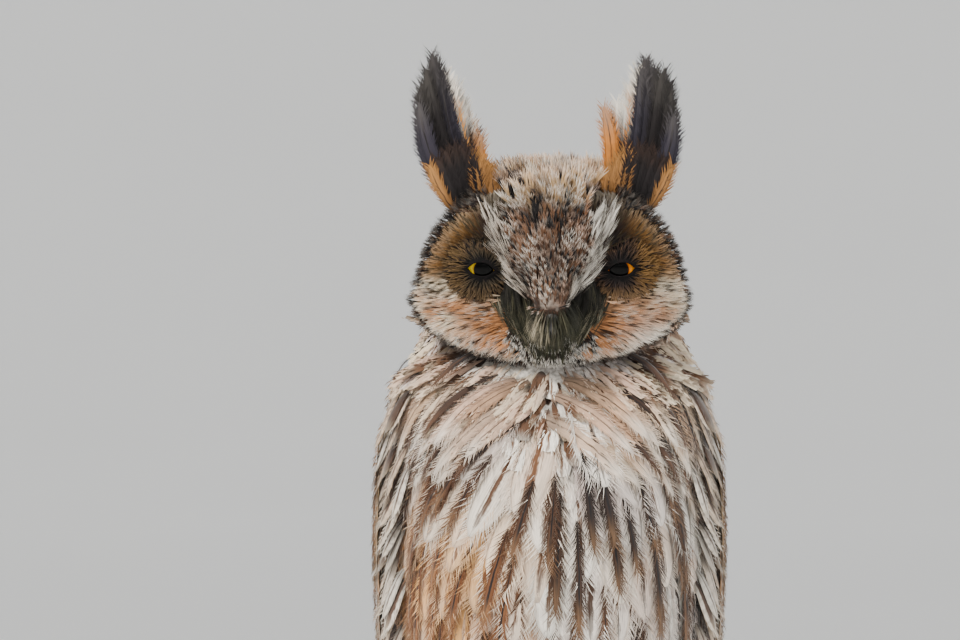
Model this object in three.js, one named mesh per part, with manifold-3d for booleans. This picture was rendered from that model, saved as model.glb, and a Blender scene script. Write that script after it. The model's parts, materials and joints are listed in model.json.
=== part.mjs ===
// A long-eared owl at roost, life size, on a short cut branch over a plain display stand.
// Millimetres, +Z up. The bird faces -Y, so its own left side is at +X. The origin is the
// centre of the base's underside.
import * as THREE from "three";
import { mergeVertices } from "three/addons/utils/BufferGeometryUtils.js";
import Module from "manifold-3d";

const wasm = await Module();
wasm.setup();

// Driving dimensions
const GAP = 0.35; // between two pieces that touch
const HEAD_WIDTH = 88; // over the jowls of the facial discs, which sets the scale of the bird
const HEAD_PITCH = THREE.MathUtils.degToRad(16); // the face looks down towards the perch
const HEAD_PIVOT = new THREE.Vector3(0, -17, 323);
const EYE_SPACING = 42;
const EYE_RADIUS = 9.6;
const PERCH_TOP = 124;
const PERCH_RADIUS = 13;
const PERCH_LENGTH = 168;
const BASE_RADIUS = 92;
const BASE_HEIGHT = 14;
const ROD_RADIUS = 3.5;
const ROD_SPACING = 112;
const TAIL_TIP = 28;

const lerp = THREE.MathUtils.lerp;
const clamp = THREE.MathUtils.clamp;
const rad = THREE.MathUtils.degToRad;
const vec = (x, y, z) => new THREE.Vector3(x, y, z);

// Solids: a closed three.js geometry as a manifold solid, and back.
function solid(geometry) {
  const g = geometry.clone();
  g.deleteAttribute("normal");
  g.deleteAttribute("uv");
  const merged = mergeVertices(g, 1e-4);
  const make = (triVerts) =>
    new wasm.Manifold(
      new wasm.Mesh({
        numProp: 3,
        vertProperties: new Float32Array(merged.attributes.position.array),
        triVerts,
      }),
    );
  const index = new Uint32Array(merged.index.array);
  const made = make(index);
  if (made.volume() > 0) return made;
  for (let i = 0; i < index.length; i += 3) [index[i], index[i + 1]] = [index[i + 1], index[i]];
  return make(index);
}

function geometryOf(body) {
  const mesh = body.getMesh();
  const g = new THREE.BufferGeometry();
  g.setAttribute("position", new THREE.BufferAttribute(mesh.vertProperties, 3));
  g.setIndex(new THREE.BufferAttribute(mesh.triVerts, 1));
  g.computeVertexNormals();
  return g;
}

const join = (...bodies) => wasm.Manifold.union(bodies.flat());

// The largest closed surface of a body, which drops loose scraps and fills sealed hollows.
function whole(body) {
  const parts = body.decompose().filter((b) => b.volume() > 0);
  return parts.sort((a, b) => b.volume() - a.volume())[0];
}

// Values between stations, which are rows [position, value, value...] in rising position, on
// cubic curves whose slopes come from the neighbouring rows.
function between(rows, position) {
  const last = rows.length - 1;
  const x = clamp(position, rows[0][0], rows[last][0]);
  let i = 0;
  while (i < last - 1 && x > rows[i + 1][0]) i++;
  const [before, a, b, after] = [Math.max(i - 1, 0), i, i + 1, Math.min(i + 2, last)].map((k) => rows[k]);
  const span = b[0] - a[0];
  const s = (x - a[0]) / span;
  return a.slice(1).map((value, k) => {
    const slopeA = (b[k + 1] - before[k + 1]) / (b[0] - before[0]);
    const slopeB = (after[k + 1] - a[k + 1]) / (after[0] - a[0]);
    const start = (1 + 2 * s) * (1 - s) ** 2 * value + s * (1 - s) ** 2 * span * slopeA;
    return start + s * s * (3 - 2 * s) * b[k + 1] + s * s * (s - 1) * span * slopeB;
  });
}

// A closed form with a pole at each end: at(v, angle) gives its skin, v from 0 to 1 between the poles.
function form(around, rings, at) {
  const g = new THREE.SphereGeometry(1, around, rings);
  const { position, uv } = g.attributes;
  for (let i = 0; i < position.count; i++) {
    const v = 1 - uv.getY(i);
    const turn = v < 1e-6 || v > 1 - 1e-6 ? 0 : Math.round(uv.getX(i) * around * 2) / (around * 2);
    const p = at(v, (turn % 1) * 2 * Math.PI);
    position.setXYZ(i, p.x, p.y, p.z);
  }
  return solid(g);
}

// A thin slab of rows by columns cells: at(s, t, side) gives the inner skin for side 0 and the
// outer one for side 1, s along it and t across it, both from 0 to 1. Both skins are split alike.
function slab(rows, columns, at) {
  const points = [];
  const index = [];
  const id = (side, i, j) => (side * (rows + 1) + i) * (columns + 1) + j;
  for (const side of [0, 1])
    for (let i = 0; i <= rows; i++)
      for (let j = 0; j <= columns; j++) points.push(...at(i / rows, j / columns, side).toArray());
  const quad = (a, b, c, d) => index.push(a, b, c, a, c, d);
  for (let i = 0; i < rows; i++)
    for (let j = 0; j < columns; j++) {
      quad(id(1, i, j), id(1, i + 1, j), id(1, i + 1, j + 1), id(1, i, j + 1));
      index.push(id(0, i, j), id(0, i + 1, j + 1), id(0, i + 1, j));
      index.push(id(0, i, j), id(0, i, j + 1), id(0, i + 1, j + 1));
    }
  for (let i = 0; i < rows; i++) {
    quad(id(0, i, 0), id(0, i + 1, 0), id(1, i + 1, 0), id(1, i, 0));
    quad(id(1, i, columns), id(1, i + 1, columns), id(0, i + 1, columns), id(0, i, columns));
  }
  for (let j = 0; j < columns; j++) {
    quad(id(1, 0, j), id(1, 0, j + 1), id(0, 0, j + 1), id(0, 0, j));
    quad(id(0, rows, j), id(0, rows, j + 1), id(1, rows, j + 1), id(1, rows, j));
  }
  const g = new THREE.BufferGeometry();
  g.setAttribute("position", new THREE.Float32BufferAttribute(points, 3));
  g.setIndex(index);
  return solid(g);
}

const DIP = 0.08; // share of a feather's length that is sunk in what it grows from

// A feather's vane or a flat lock along a centre line: line(s) gives a place p on its inner skin
// and the way out. It narrows at the root and the tip, its edges lie lower by the camber, and
// roll lifts one edge over its neighbour.
function vane({ line, half, thick, tip = 0.3, root = 0.6, camber = 0, roll = [0, 0], rows = 4, columns = 2, grow = 0 }) {
  return slab(rows, columns, (share, t, outer) => {
    const row = Math.round(share * rows);
    const s = row === 0 ? 0 : lerp(DIP, 1, 1 - (1 - (row - 1) / (rows - 1)) ** 1.3);
    const { p, out } = line(s);
    const along = line(Math.min(1, s + 0.02)).p.sub(line(Math.max(0, s - 0.02)).p).normalize();
    const across = out.clone().cross(along).normalize();
    const up = along.clone().cross(across).normalize();
    const near = root + (1 - root) * Math.min(1, s * 4);
    const end = s < 0.72 ? 1 : Math.max(tip, Math.sqrt(1 - ((s - 0.72) / 0.28) ** 2));
    const a = t * 2 - 1;
    const depth = thick * lerp(1, 0.6, s) * (1 - 0.35 * a * a);
    const height = -camber * a * a * end - lerp(...roll, s) * a + (outer ? depth + grow : -grow);
    return p
      .clone()
      .addScaledVector(across, a * (half * near * end + grow))
      .addScaledVector(up, height);
  });
}

// A limb, toe, claw or horn: a round form along a smooth path, with a radius at each path point.
function limb(path, radii, around, rings, flat = 1) {
  const curve = new THREE.CatmullRomCurve3(path);
  const stations = radii.map((r, i) => [i / (radii.length - 1), r]);
  const { normals, binormals } = curve.computeFrenetFrames(rings);
  return form(around, rings, (v, angle) => {
    const i = Math.round(v * rings);
    const p = curve.getPointAt(v);
    if (i === 0 || i === rings) return p;
    const r = between(stations, v)[0] * Math.min(1, Math.sqrt(Math.min(v, 1 - v) * 8));
    return p
      .addScaledVector(normals[i], r * Math.cos(angle) * flat)
      .addScaledVector(binormals[i], r * Math.sin(angle));
  });
}

// Torso, in stations
const TORSO = [
  [108, 41, 14, 8, 12],
  [125, 34, 24, 14, 20],
  [145, 22, 35, 23, 30],
  [165, 10, 43, 34, 40],
  [190, 3, 48, 43, 45],
  [220, -1, 49.5, 47, 45],
  [250, -3, 49, 46, 42],
  [268, -4, 48.5, 41, 40],
  [280, -4, 48, 35, 38.5],
  [290, -4, 46, 29, 36.5],
  [299, -3, 38, 20, 30],
];
const TORSO_TOP = 304;
const TORSO_END = 104;

// Rounds a form off at both ends, over a share of its length.
const roundEnds = (v, share) => {
  const near = Math.min(v, 1 - v) / share;
  return near >= 1 ? 1 : Math.sqrt(1 - (1 - near) ** 2);
};

// An upright form through stations [height, centre Y, half width, depth forward, depth aft].
function barrel(rows, top, bottom, share, around, rings, grow) {
  return form(around, rings, (v, angle) => {
    const z = lerp(top + grow, bottom - grow, v);
    const [y, half, fore, aft] = between(rows, z);
    const k = roundEnds(v, share);
    const depth = Math.cos(angle) > 0 ? fore : aft;
    return vec((half + grow) * k * Math.sin(angle), y - (depth + grow) * k * Math.cos(angle), z);
  });
}

function torsoForm(grow = 0) {
  return barrel(TORSO, TORSO_TOP, TORSO_END, 0.09, 22, 15, grow);
}

// Head, in its own frame: eye level at z 0, the face towards -Y
const FACE_CENTRE = -4;
const HEAD_BACK = 38;
const NAPE_DROP = 9; // how much lower the head reaches behind the face
// Reach of the facial disc's rim from the face's centre, by the angle above the side, in degrees
const RIM = [
  [-90, 25],
  [-60, 27.5],
  [-36, 35.5],
  [-18, HEAD_WIDTH / 2 - 1.2],
  [0, 40],
  [24, 36.5],
  [45, 33],
  [66, 29.5],
  [90, 28.5],
];
const bell = (x, width) => Math.exp(-((x / width) ** 2));

const rimReach = (angle) => {
  const rise = Math.asin(clamp(Math.sin(angle), -1, 1));
  return between(RIM, THREE.MathUtils.radToDeg(rise))[0];
};

// How far the face stands forward at a place, share being 0 at its middle and 1 at the rim.
function faceDepth(x, z, share) {
  const dome = 30.5 - 0.0088 * x * x - 0.0075 * z * z;
  const ridgeWidth = lerp(7.5, 15, clamp((z + 6) / 24, 0, 1));
  const ridge = 6 * bell(x, ridgeWidth) * (1 - clamp((z - 4) / 26, 0, 1) * 0.7) * (1 - clamp((-z - 14) / 16, 0, 1) * 0.75);
  const dish = 2 * bell(Math.abs(x) - EYE_SPACING / 2 - 1, 11) * bell(z + 1, 12);
  const cheek = 1.8 * bell(Math.abs(x) - 26, 11) * bell(z + 19, 8);
  const lip = 1.6 * bell(share - 0.93, 0.1);
  return dome + ridge - dish + cheek + lip;
}

function headAt(t, angle) {
  const reach = rimReach(angle);
  const side = Math.cos(angle);
  const up = Math.sin(angle);
  if (t <= 0.5) {
    const share = (t / 0.5) ** 0.92;
    const x = reach * share * side;
    const z = FACE_CENTRE + reach * share * up;
    return vec(x, -faceDepth(x, z, share), z);
  }
  const back = (t - 0.5) / 0.5;
  const rimZ = FACE_CENTRE + reach * up;
  const rimY = -faceDepth(reach * side, rimZ, 1);
  const shrink = Math.max(0, Math.cos((back * Math.PI) / 2)) ** 0.72;
  const drop = NAPE_DROP * Math.sin(back * Math.PI) * clamp(-up + 0.3, 0, 1);
  return vec(
    reach * side * shrink * lerp(1, 0.98, Math.sin(back * Math.PI)),
    lerp(rimY, HEAD_BACK, Math.sin((back * Math.PI) / 2) ** 1.15),
    rimZ * shrink + 2 * (1 - shrink) - drop,
  );
}

const placeHead = (p) => p.applyAxisAngle(vec(1, 0, 0), HEAD_PITCH).add(HEAD_PIVOT);
const placedOnHead = (body) =>
  body.rotate([THREE.MathUtils.radToDeg(HEAD_PITCH), 0, 0]).translate(HEAD_PIVOT.toArray());

function headForm(grow = 0) {
  return placedOnHead(
    form(28, 20, (t, angle) => {
      const p = headAt(t, -angle);
      return p.addScaledVector(p.clone().normalize(), grow * 1.15);
    }),
  );
}

// Eyes, lids and bill, in the head's frame
const eyeCentre = (side) => vec((side * EYE_SPACING) / 2, -18.4, -1);

function ball(radius, centre, around = 18, rings = 12) {
  const g = new THREE.SphereGeometry(radius, around, rings).rotateX(Math.PI / 2);
  return solid(g.translate(centre.x, centre.y, centre.z));
}

const eyeForm = (side) => placedOnHead(ball(EYE_RADIUS, eyeCentre(side), 14, 8));
const socketForm = (side) => placedOnHead(ball(EYE_RADIUS + GAP, eyeCentre(side), 14, 8));

// The upper and lower lid as two caps over the eyeball, half closed on the opening between them.
const LID = 1.5; // thickness
const LID_SLOPE = 0.3; // how the lids part towards the front
const LID_UPPER = -0.2;
const LID_LOWER = -0.2;

function lidForm(side) {
  const c = eyeCentre(side);
  const shell = ball(EYE_RADIUS + LID, c, 14, 8);
  const upper = shell.trimByPlane([0, LID_SLOPE, 1], c.z + c.y * LID_SLOPE + LID_UPPER);
  const lower = shell.trimByPlane([0, LID_SLOPE, -1], -c.z + c.y * LID_SLOPE + LID_LOWER);
  return placedOnHead(join(upper, lower));
}

// A place on the face, lifted off it.
function onFace(x, z, lift) {
  const share = Math.hypot(x, z - FACE_CENTRE) / rimReach(Math.atan2(z - FACE_CENTRE, x));
  return vec(x, -faceDepth(x, z, Math.min(1, share)) - lift, z);
}

const bent = (a, b, c) => {
  const curve = new THREE.QuadraticBezierCurve3(a, b, c);
  return (s) => curve.getPoint(s);
};

// The ruff: flat locks round the rim of the facial disc, whose tips stand out past it.
// Every second lock lies over its neighbours by the step.
const RUFF = { count: 15, first: 72, last: -79, half: 3.6, thick: 0.7, step: 2, reach: 3.4, back: 4 };

function ruffLocks(grow = 0) {
  return [-1, 1].flatMap((side) =>
    Array.from({ length: RUFF.count }, (_, i) => {
      const share = i / (RUFF.count - 1);
      const angle = rad(lerp(RUFF.first, RUFF.last, share));
      const radial = vec(side * Math.cos(angle), 0, Math.sin(angle));
      const reach = rimReach(angle);
      const long = RUFF.reach * (1 + 0.16 * Math.sin(i * 2.7 + side)) * lerp(0.75, 1, bell(share - 0.5, 0.4));
      const place = (distance, lift) => onFace(radial.x * distance, FACE_CENTRE + radial.z * distance, lift);
      const rim = place(reach, 0);
      const tip = rim.clone().addScaledVector(radial, long).add(vec(0, RUFF.back, -0.8));
      const over = (i % 2) * RUFF.step;
      tip.add(vec(0, -over, 0));
      const knee = rim.clone().addScaledVector(radial, long * 0.45).add(vec(0, -3.4 - over, 0));
      const root = reach - 5.5 - 2.4 * over;
      const path = bent(place(root, 1.3 + over), knee, tip);
      const sunk = place(root - 0.7, -1.4);
      return vane({
        line: (s) => ({ p: s === 0 ? sunk : path(s), out: vec(0, -1, 0).addScaledVector(radial, s).normalize() }),
        half: RUFF.half,
        thick: RUFF.thick,
        tip: 0.12,
        root: 0.6,
        rows: 3,
        columns: 1,
        grow,
      });
    }),
  );
}

// A lock on the face: root, knee and tip are [X, Z, lift], and the root is sunk in the face.
function faceLock(root, knee, tip, half, lean) {
  const path = bent(onFace(root[0], root[1], 0.7), onFace(...knee), onFace(...tip));
  const sunk = onFace(root[0], root[1], -1.2);
  return vane({
    line: (s) => ({ p: s === 0 ? sunk : path(s), out: vec(lean, -1, 0).normalize() }),
    half,
    thick: 0.8,
    tip: 0.14,
    rows: 4,
    columns: 1,
  });
}

// Brows: locks that rise from the bill along both edges of the crown's tongue, which is a U.
// Their line is in stations [Z, X]. Bristles: locks from the lores that curve down past the bill
// on both sides and meet below it.
const BROW_LINE = [
  [-8, 5.4],
  [-3, 9.2],
  [3, 12],
  [10, 14.4],
  [18, 16.6],
  [28, 18.6],
];
const BROW = [-6, 0.5, 7, 13.5]; // Z of each lock's root
const browLocks = () =>
  [-1, 1].flatMap((side) =>
    BROW.map((z) => {
      const [x, knee, tip] = [z, z + 5.5, z + 10.5].map((at) => between(BROW_LINE, at)[0]);
      return faceLock([side * x, z, 0], [side * (knee + 0.4), z + 5.5, 2.6], [side * (tip + 1.6), z + 10.5, 2.4], 2.3, 0);
    }),
  );

const BRISTLES = [0, 1, 2];
const bristleLocks = () =>
  [-1, 1].flatMap((side) =>
    BRISTLES.map((i) =>
      faceLock(
        [side * (6.6 + 2.3 * i), -1 - 3 * i, 0],
        [side * (7.4 + 2.7 * i), -13 - 1.4 * i, 5.2 - 1.1 * i],
        [side * (4.6 + 3.2 * i), -24 + 0.8 * i, 2.9 - 0.3 * i],
        1.75,
        side * 0.5,
      ),
    ),
  );

const BILL_ROOT = vec(0, -34, -6);
const BILL_TIP = vec(0, -39, -21);

function billUpper() {
  const path = [
    BILL_ROOT.clone().add(vec(0, 3, 2)),
    BILL_ROOT.clone().add(vec(0, -3.4, -4)),
    vec(0, BILL_TIP.y - 1.4, -13.5),
    vec(0, BILL_TIP.y + 0.2, -18),
    BILL_TIP,
  ];
  const bill = limb(path, [4.6, 4.2, 3.4, 2.2, 0.7], 10, 8, 0.9);
  const nostrils = [-1, 1].map((side) => ball(0.9, vec(side * 3.6, -38, -10), 8, 6));
  return placedOnHead(bill.subtract(join(nostrils)));
}

function billLower(grow = 0) {
  const path = [vec(0, -29, -10.5), vec(0, -33.5, -13.5), vec(0, -36.2, -17.5)];
  return placedOnHead(limb(path, [3.8 + grow, 3.4 + grow, 1.6 + grow], 8, 6, 0.8));
}

// Neck, between the head and the torso, in stations as the torso is
const NECK = [
  [276, -4, 40, 24, 38],
  [290, -4, 42, 18, 39],
  [300, -3, 41, 15, 36],
  [310, -2, 38, 15, 31.5],
  [320, 0, 34, 15, 26],
  [330, 2, 28, 15, 20],
];
const neckForm = (grow = 0) => barrel(NECK, 333, 272, 0.2, 14, 6, grow);

// Mantle: the surface that the folded wings lie on, in the torso's terms, down to the wing tips
const MANTLE = [
  [34, 66, 17, 10, 10],
  [70, 50, 26, 17, 18],
  [110, 34, 33, 24, 25.5],
  [145, 20, 39.5, 29, 35.5],
  [165, 10, 43.5, 34, 41.5],
  ...TORSO.filter((row) => row[0] > 180),
];

// A place on the mantle by height and by degrees round from the breast, with the way out of it.
function mantleAt(z, degrees, side, lift = 0) {
  const at = (height, turn) => {
    const [y, half, fore, aft] = between(MANTLE, height);
    const depth = Math.cos(turn) > 0 ? fore : aft;
    return vec(side * half * Math.sin(turn), y - depth * Math.cos(turn), height);
  };
  const turn = rad(degrees);
  const p = at(z, turn);
  const down = at(z - 1, turn).sub(at(z + 1, turn));
  const round = at(z, turn + 0.01).sub(at(z, turn - 0.01));
  const out = round.cross(down).normalize().multiplyScalar(-side);
  return { p: p.addScaledVector(out, lift), out };
}

// Wing core, which holds the feathers' roots: [height, first and last degrees round, thickness]
const WING = [
  [36, 150, 176, 0],
  [60, 140, 176, 0],
  [100, 116, 175, 0],
  [134, 98, 172, 0],
  [165, 84, 166, 0.8],
  [200, 75, 158, 1.3],
  [232, 72, 150, 1.6],
  [256, 78, 140, 1.6],
  [270, 92, 126, 1],
];
const WING_TOP = 270;
const WING_ROOT = 222; // above this height the wing is bedded on the torso
const CORE_END = 196;

// How far a place on the wing is from its front and rear edges, 0 at an edge and 1 between them.
function wingMiddle(z, degrees) {
  const [first, last] = between(WING, z);
  return Math.sin(Math.PI * clamp((degrees - first) / (last - first), 0, 1)) ** 0.6;
}

const coreTop = (z, degrees) => 0.8 + between(WING, z)[2] * wingMiddle(z, degrees);

function wingCore(side) {
  return slab(5, 4, (s, t, outer) => {
    const z = lerp(WING_TOP, CORE_END, s);
    const [first, last] = between(WING, z);
    const degrees = lerp(first, last, t);
    const inner = lerp(0.5, -0.6, clamp((z - WING_ROOT) / 12, 0, 1));
    return mantleAt(z, degrees, side, outer ? coreTop(z, degrees) : inner).p;
  });
}

// The wing's feathers in tiers, from the deepest to the uppermost. In each tier, root and tip are
// stations [share from front to rear, height, degrees round the mantle].
const WING_TIERS = [
  {
    // primaries, then secondaries
    count: 8,
    half: 6.3,
    lift: 1.2,
    rise: 0.62,
    edge: 0.6,
    thick: 0.65,
    rows: 5,
    columns: 2,
    roll: [1.05, 2.3],
    root: [[0, 200, 88], [1, 206, 142]],
    tip: [[0, 68, 136], [0.12, 48, 148], [0.25, 38, 156], [0.38, 46, 163], [0.55, 74, 165], [0.8, 102, 160], [1, 126, 152]],
  },
  {
    // greater coverts
    count: 6,
    half: 6.2,
    lift: 4.1,
    rise: 0.1,
    edge: 0.9,
    thick: 0.7,
    rows: 4,
    columns: 1,
    roll: [0.85, 0.85],
    root: [[0, 214, 84], [1, 222, 140]],
    tip: [[0, 172, 92], [0.5, 164, 120], [1, 168, 150]],
  },
  {
    // median coverts
    count: 5,
    half: 5.6,
    lift: 5.5,
    rise: 0,
    edge: 0.9,
    thick: 0.7,
    rows: 4,
    columns: 1,
    roll: [0.85, 0.85],
    root: [[0, 250, 84], [1, 256, 112]],
    tip: [[0, 206, 85], [0.5, 199, 103], [1, 200, 121]],
  },
  {
    // scapulars
    count: 4,
    half: 5.8,
    lift: 6.1,
    rise: 0.2,
    edge: 1,
    thick: 0.75,
    rows: 4,
    columns: 1,
    roll: [1.15, 1],
    root: [[0, 258, 119], [1, 258, 142]],
    tip: [[0, 212, 128], [0.5, 196, 144], [1, 184, 158]],
  },
];

function wingFeathers(side) {
  return WING_TIERS.flatMap(({ count, half, lift, rise, edge, thick, rows, columns, roll, root, tip }, tier) =>
    Array.from({ length: count }, (_, i) => {
      const share = i / (count - 1);
      const from = between(root, share);
      const to = between(tip, share);
      const wide = half * (1 + 0.05 * Math.sin(i * 2.3 + tier));
      const line = (s) => {
        const z = lerp(from[0], to[0], s);
        const degrees = lerp(from[1], to[1], s ** 1.2);
        const top = z > CORE_END ? coreTop(z, degrees) : 0;
        const clear = Math.max(top + 0.4, lift * lerp(edge, 1, wingMiddle(z, degrees)) * Math.min(1, 0.75 + s) + rise * i * s);
        return mantleAt(z, degrees, side, lerp(top * 0.4, clear, Math.min(1, s / DIP)));
      };
      return vane({ line, half: wide, thick, rows, columns, roll: roll.map((r) => r * side), tip: 0.34 });
    }),
  );
}

// Tail: a closed fan that hangs behind the perch, six feathers to a side, the middle pair uppermost
const TAIL_ROOT = vec(0, 44, 150);
const TAIL_END = vec(0, 70, TAIL_TIP);
const TAIL_WIDTH = 40;
const TAIL_FEATHERS = 6;
const TAIL_CORE = 0.24; // share of the length that is one root
const TAIL_STEP = 0.86; // from one feather's inner skin to the next
const TAIL_OUT = TAIL_END.clone().sub(TAIL_ROOT).normalize().cross(vec(-1, 0, 0));

// A place on the tail's middle plane: s down it, x across it, lift away from it to the rear.
const onTail = (s, x, lift) =>
  TAIL_ROOT.clone().lerp(TAIL_END, s).add(vec(x, -0.0045 * x * x, 0)).addScaledVector(TAIL_OUT, lift);

// The room that the tail takes, as one plain form.
function tailRoom(grow = 0) {
  return slab(6, 4, (s, t, outer) => {
    const half = lerp(12, TAIL_WIDTH / 2 + 0.9, Math.min(1, s * 6)) + grow;
    const thick = lerp(13, (TAIL_FEATHERS + 1) * TAIL_STEP + 0.8, clamp(s * 6 - 2.8, 0, 1)) + 2 * grow;
    return onTail(lerp(-0.01, 1.004, s), (t * 2 - 1) * half, (outer ? 0.5 : -0.5) * thick);
  });
}

function tailFeathers() {
  const pairs = Array.from({ length: TAIL_FEATHERS }, (_, i) => {
    const far = 9.4 + ((TAIL_WIDTH / 2 - 9.4) * i) / (TAIL_FEATHERS - 1);
    const end = 1 - 0.008 * i - 0.003 * i * i;
    return [-1, 1].map((side) => {
      // the left feather of the middle pair lies over the right one
      const over = i === 0 && side === 1 ? 1 : 0;
      const layer = (TAIL_FEATHERS / 2 - 1 - i + over) * TAIL_STEP - 0.3;
      const near = i === 0 ? -3.5 : 0.3 + 0.7 * (i - 1);
      return vane({
        line: (s) => ({ p: onTail(lerp(TAIL_CORE - 0.06, end, s), (side * (near + far)) / 2, layer), out: TAIL_OUT }),
        half: (far - near) / 2,
        thick: 0.56,
        tip: 0.5,
        root: 0.9,
        rows: 4,
      });
    });
  });
  // Coverts under the root, three in a row
  const coverts = [-1, 0, 1].map((k) =>
    vane({
      line: (s) => ({
        p: onTail(lerp(0.1, 0.4 - 0.05 * Math.abs(k), s), k * lerp(6, 9, s), s === 0 ? -2 : -4.3 - 0.9 * Math.abs(k)),
        out: TAIL_OUT.clone().negate(),
      }),
      half: 5,
      thick: 0.7,
      rows: 3,
      columns: 1,
    }),
  );
  const root = slab(2, 2, (s, t, outer) =>
    onTail(lerp(0, TAIL_CORE, s), (t * 2 - 1) * lerp(10, TAIL_WIDTH / 2 + 0.4, s), (outer ? 0.5 : -0.5) * lerp(9, 7, s)),
  );
  return join(root, pairs.flat(), coverts);
}

// Ear tufts: long feathers that stand in a leaf-shaped fan above the brows. Each is
// [root X, tip X, tip height, half width], from the inner edge to the outer one.
const TUFTS = {
  right: {
    side: -1,
    root: vec(0, -30, 338),
    feathers: [
      [17.5, 21, 361, 4],
      [19, 26, 370, 4.4],
      [21, 31, 378, 4.8],
      [23.5, 35.5, 384, 5.4],
      [26, 39, 376, 4.8],
      [28, 40, 366, 4.2],
      [24, 29, 358, 5],
    ],
  },
  left: {
    side: 1,
    root: vec(0, -30, 338),
    feathers: [
      [16.5, 16, 368, 4.2],
      [19, 21.5, 371, 4.2],
      [21, 26, 379, 4.6],
      [23.5, 30, 384, 5.4],
      [26, 35.5, 377, 5],
      [28.5, 37.5, 367, 4.6],
      [24, 29, 359, 5],
    ],
  },
};
const TUFT_STEP = 1; // from one feather's inner skin to the next
const TUFT_BACK = 5; // how far the tips stand behind the roots

function tuftForm({ side, root, feathers }) {
  const vanes = feathers.map(([rootX, tipX, tipZ, half], i) => {
    const start = vec(side * rootX, root.y + 3 - TUFT_STEP * i, root.z);
    const end = vec(side * tipX, start.y + TUFT_BACK * ((tipZ - root.z) / 46), tipZ);
    const bow = vec(side * 2.2, -2, 0);
    return vane({
      line: (s) => ({
        p: start.clone().lerp(end, s).addScaledVector(bow, Math.sin(Math.PI * s)),
        out: vec(side * 0.12, -1, 0.1).normalize(),
      }),
      half,
      thick: 0.62,
      camber: 0.4,
      rows: 4,
      root: 0.7,
    });
  });
  // The core that holds the roots narrows to a wedge between the vanes.
  const core = slab(3, 2, (s, t, outer) =>
    vec(
      side * (22 + 2 * s + (t * 2 - 1) * lerp(7, 3.6, s)),
      root.y + (outer ? lerp(-4.6, -3.6, s) : lerp(4.4, -1, s)),
      root.z + lerp(-2, 10, s),
    ),
  );
  return join(core, vanes);
}

// Legs and feet
const LEG_SPACING = 36;
const TOE_RADIUS = 4.3;
const TOE_ARC = PERCH_RADIUS + TOE_RADIUS + GAP;
const PERCH_AXIS = PERCH_TOP - PERCH_RADIUS;
// Toes: name, offset along the perch at the root and the tip, and the way round the perch
const TOES = [
  { name: "inner", root: -3.5, tip: -6.5, way: -1 },
  { name: "middle", root: 3, tip: 4.5, way: -1 },
  { name: "outer", root: 4, tip: 8, way: 1 },
  { name: "hind", root: -3.5, tip: -4.5, way: 1 },
];
const TOE_END = 74; // degrees round the perch from its top
const CLAW_END = 128;

const onPerch = (x, degrees, way, radius) =>
  vec(x, way * radius * Math.sin(rad(degrees)), PERCH_AXIS + radius * Math.cos(rad(degrees)));

function toeForm(side, toe, grow = 0) {
  const foot = (side * LEG_SPACING) / 2;
  const path = [0, 0.33, 0.66, 1].map((s) =>
    onPerch(foot + side * lerp(toe.root, toe.tip, s), lerp(-4, TOE_END, s), toe.way, TOE_ARC),
  );
  return limb(path, [5, 4.4, 4.1, 3.9].map((r) => r * (TOE_RADIUS / 4.4) + grow), 6, 6);
}

function footForm(side, grow = 0) {
  const heel = ball(6.4 + grow, vec((side * LEG_SPACING) / 2, 0, PERCH_TOP + 6.4 + GAP), 10, 7);
  return join(heel, TOES.map((toe) => toeForm(side, toe, grow)));
}

function clawForm(side, toe) {
  const x = (side * LEG_SPACING) / 2 + side * toe.tip;
  const path = [0, 0.3, 0.65, 1].map((s) =>
    onPerch(x, lerp(TOE_END - 4, CLAW_END, s), toe.way, lerp(TOE_ARC, PERCH_RADIUS + 1.4, s)),
  );
  return limb(path, [2.3, 2, 1.4, 0.5], 6, 5);
}

function legForm(side) {
  const x = (side * LEG_SPACING) / 2;
  const path = [vec(x * 1.05, 12, 176), vec(x * 1.05, 6, 156), vec(x, 0, PERCH_TOP + 8)];
  return limb(path, [13, 11.5, 7.6], 12, 8);
}

// Perch and stand
function perchForm(grow = 0) {
  const half = PERCH_LENGTH / 2 + grow;
  return form(14, 12, (v, angle) => {
    const inner = clamp((v - 1 / 12) / (10 / 12), 0, 1);
    const x = lerp(-half, half, inner);
    const knot = 1.1 * bell(x + 62, 9) * (1 + Math.cos(angle + 2)) + 0.25 * Math.sin(3 * angle + x * 0.05);
    const end = v === 0 || v === 1 ? 0 : 1;
    const r = end * (PERCH_RADIUS - 0.3 + Math.abs(x) * 0.002 + (Math.abs(x) > 40 ? knot : 0) + grow);
    return vec(x, -r * Math.sin(angle), PERCH_AXIS + r * Math.cos(angle));
  });
}

function standBase() {
  const chamfer = 1.6;
  const profile = [
    [0, 0],
    [BASE_RADIUS - chamfer, 0],
    [BASE_RADIUS, chamfer],
    [BASE_RADIUS, BASE_HEIGHT - chamfer * 1.6],
    [BASE_RADIUS - chamfer * 1.6, BASE_HEIGHT],
    [0, BASE_HEIGHT],
  ].map(([r, z]) => new THREE.Vector2(r, z));
  return solid(new THREE.LatheGeometry(profile, 32).rotateX(Math.PI / 2));
}

function standRod(side) {
  const bottom = BASE_HEIGHT + GAP;
  const g = new THREE.CylinderGeometry(ROD_RADIUS, ROD_RADIUS, PERCH_AXIS - bottom, 12);
  g.rotateX(Math.PI / 2).translate((side * ROD_SPACING) / 2, 0, (PERCH_AXIS + bottom) / 2);
  return solid(g).subtract(perchForm(GAP));
}

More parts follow.
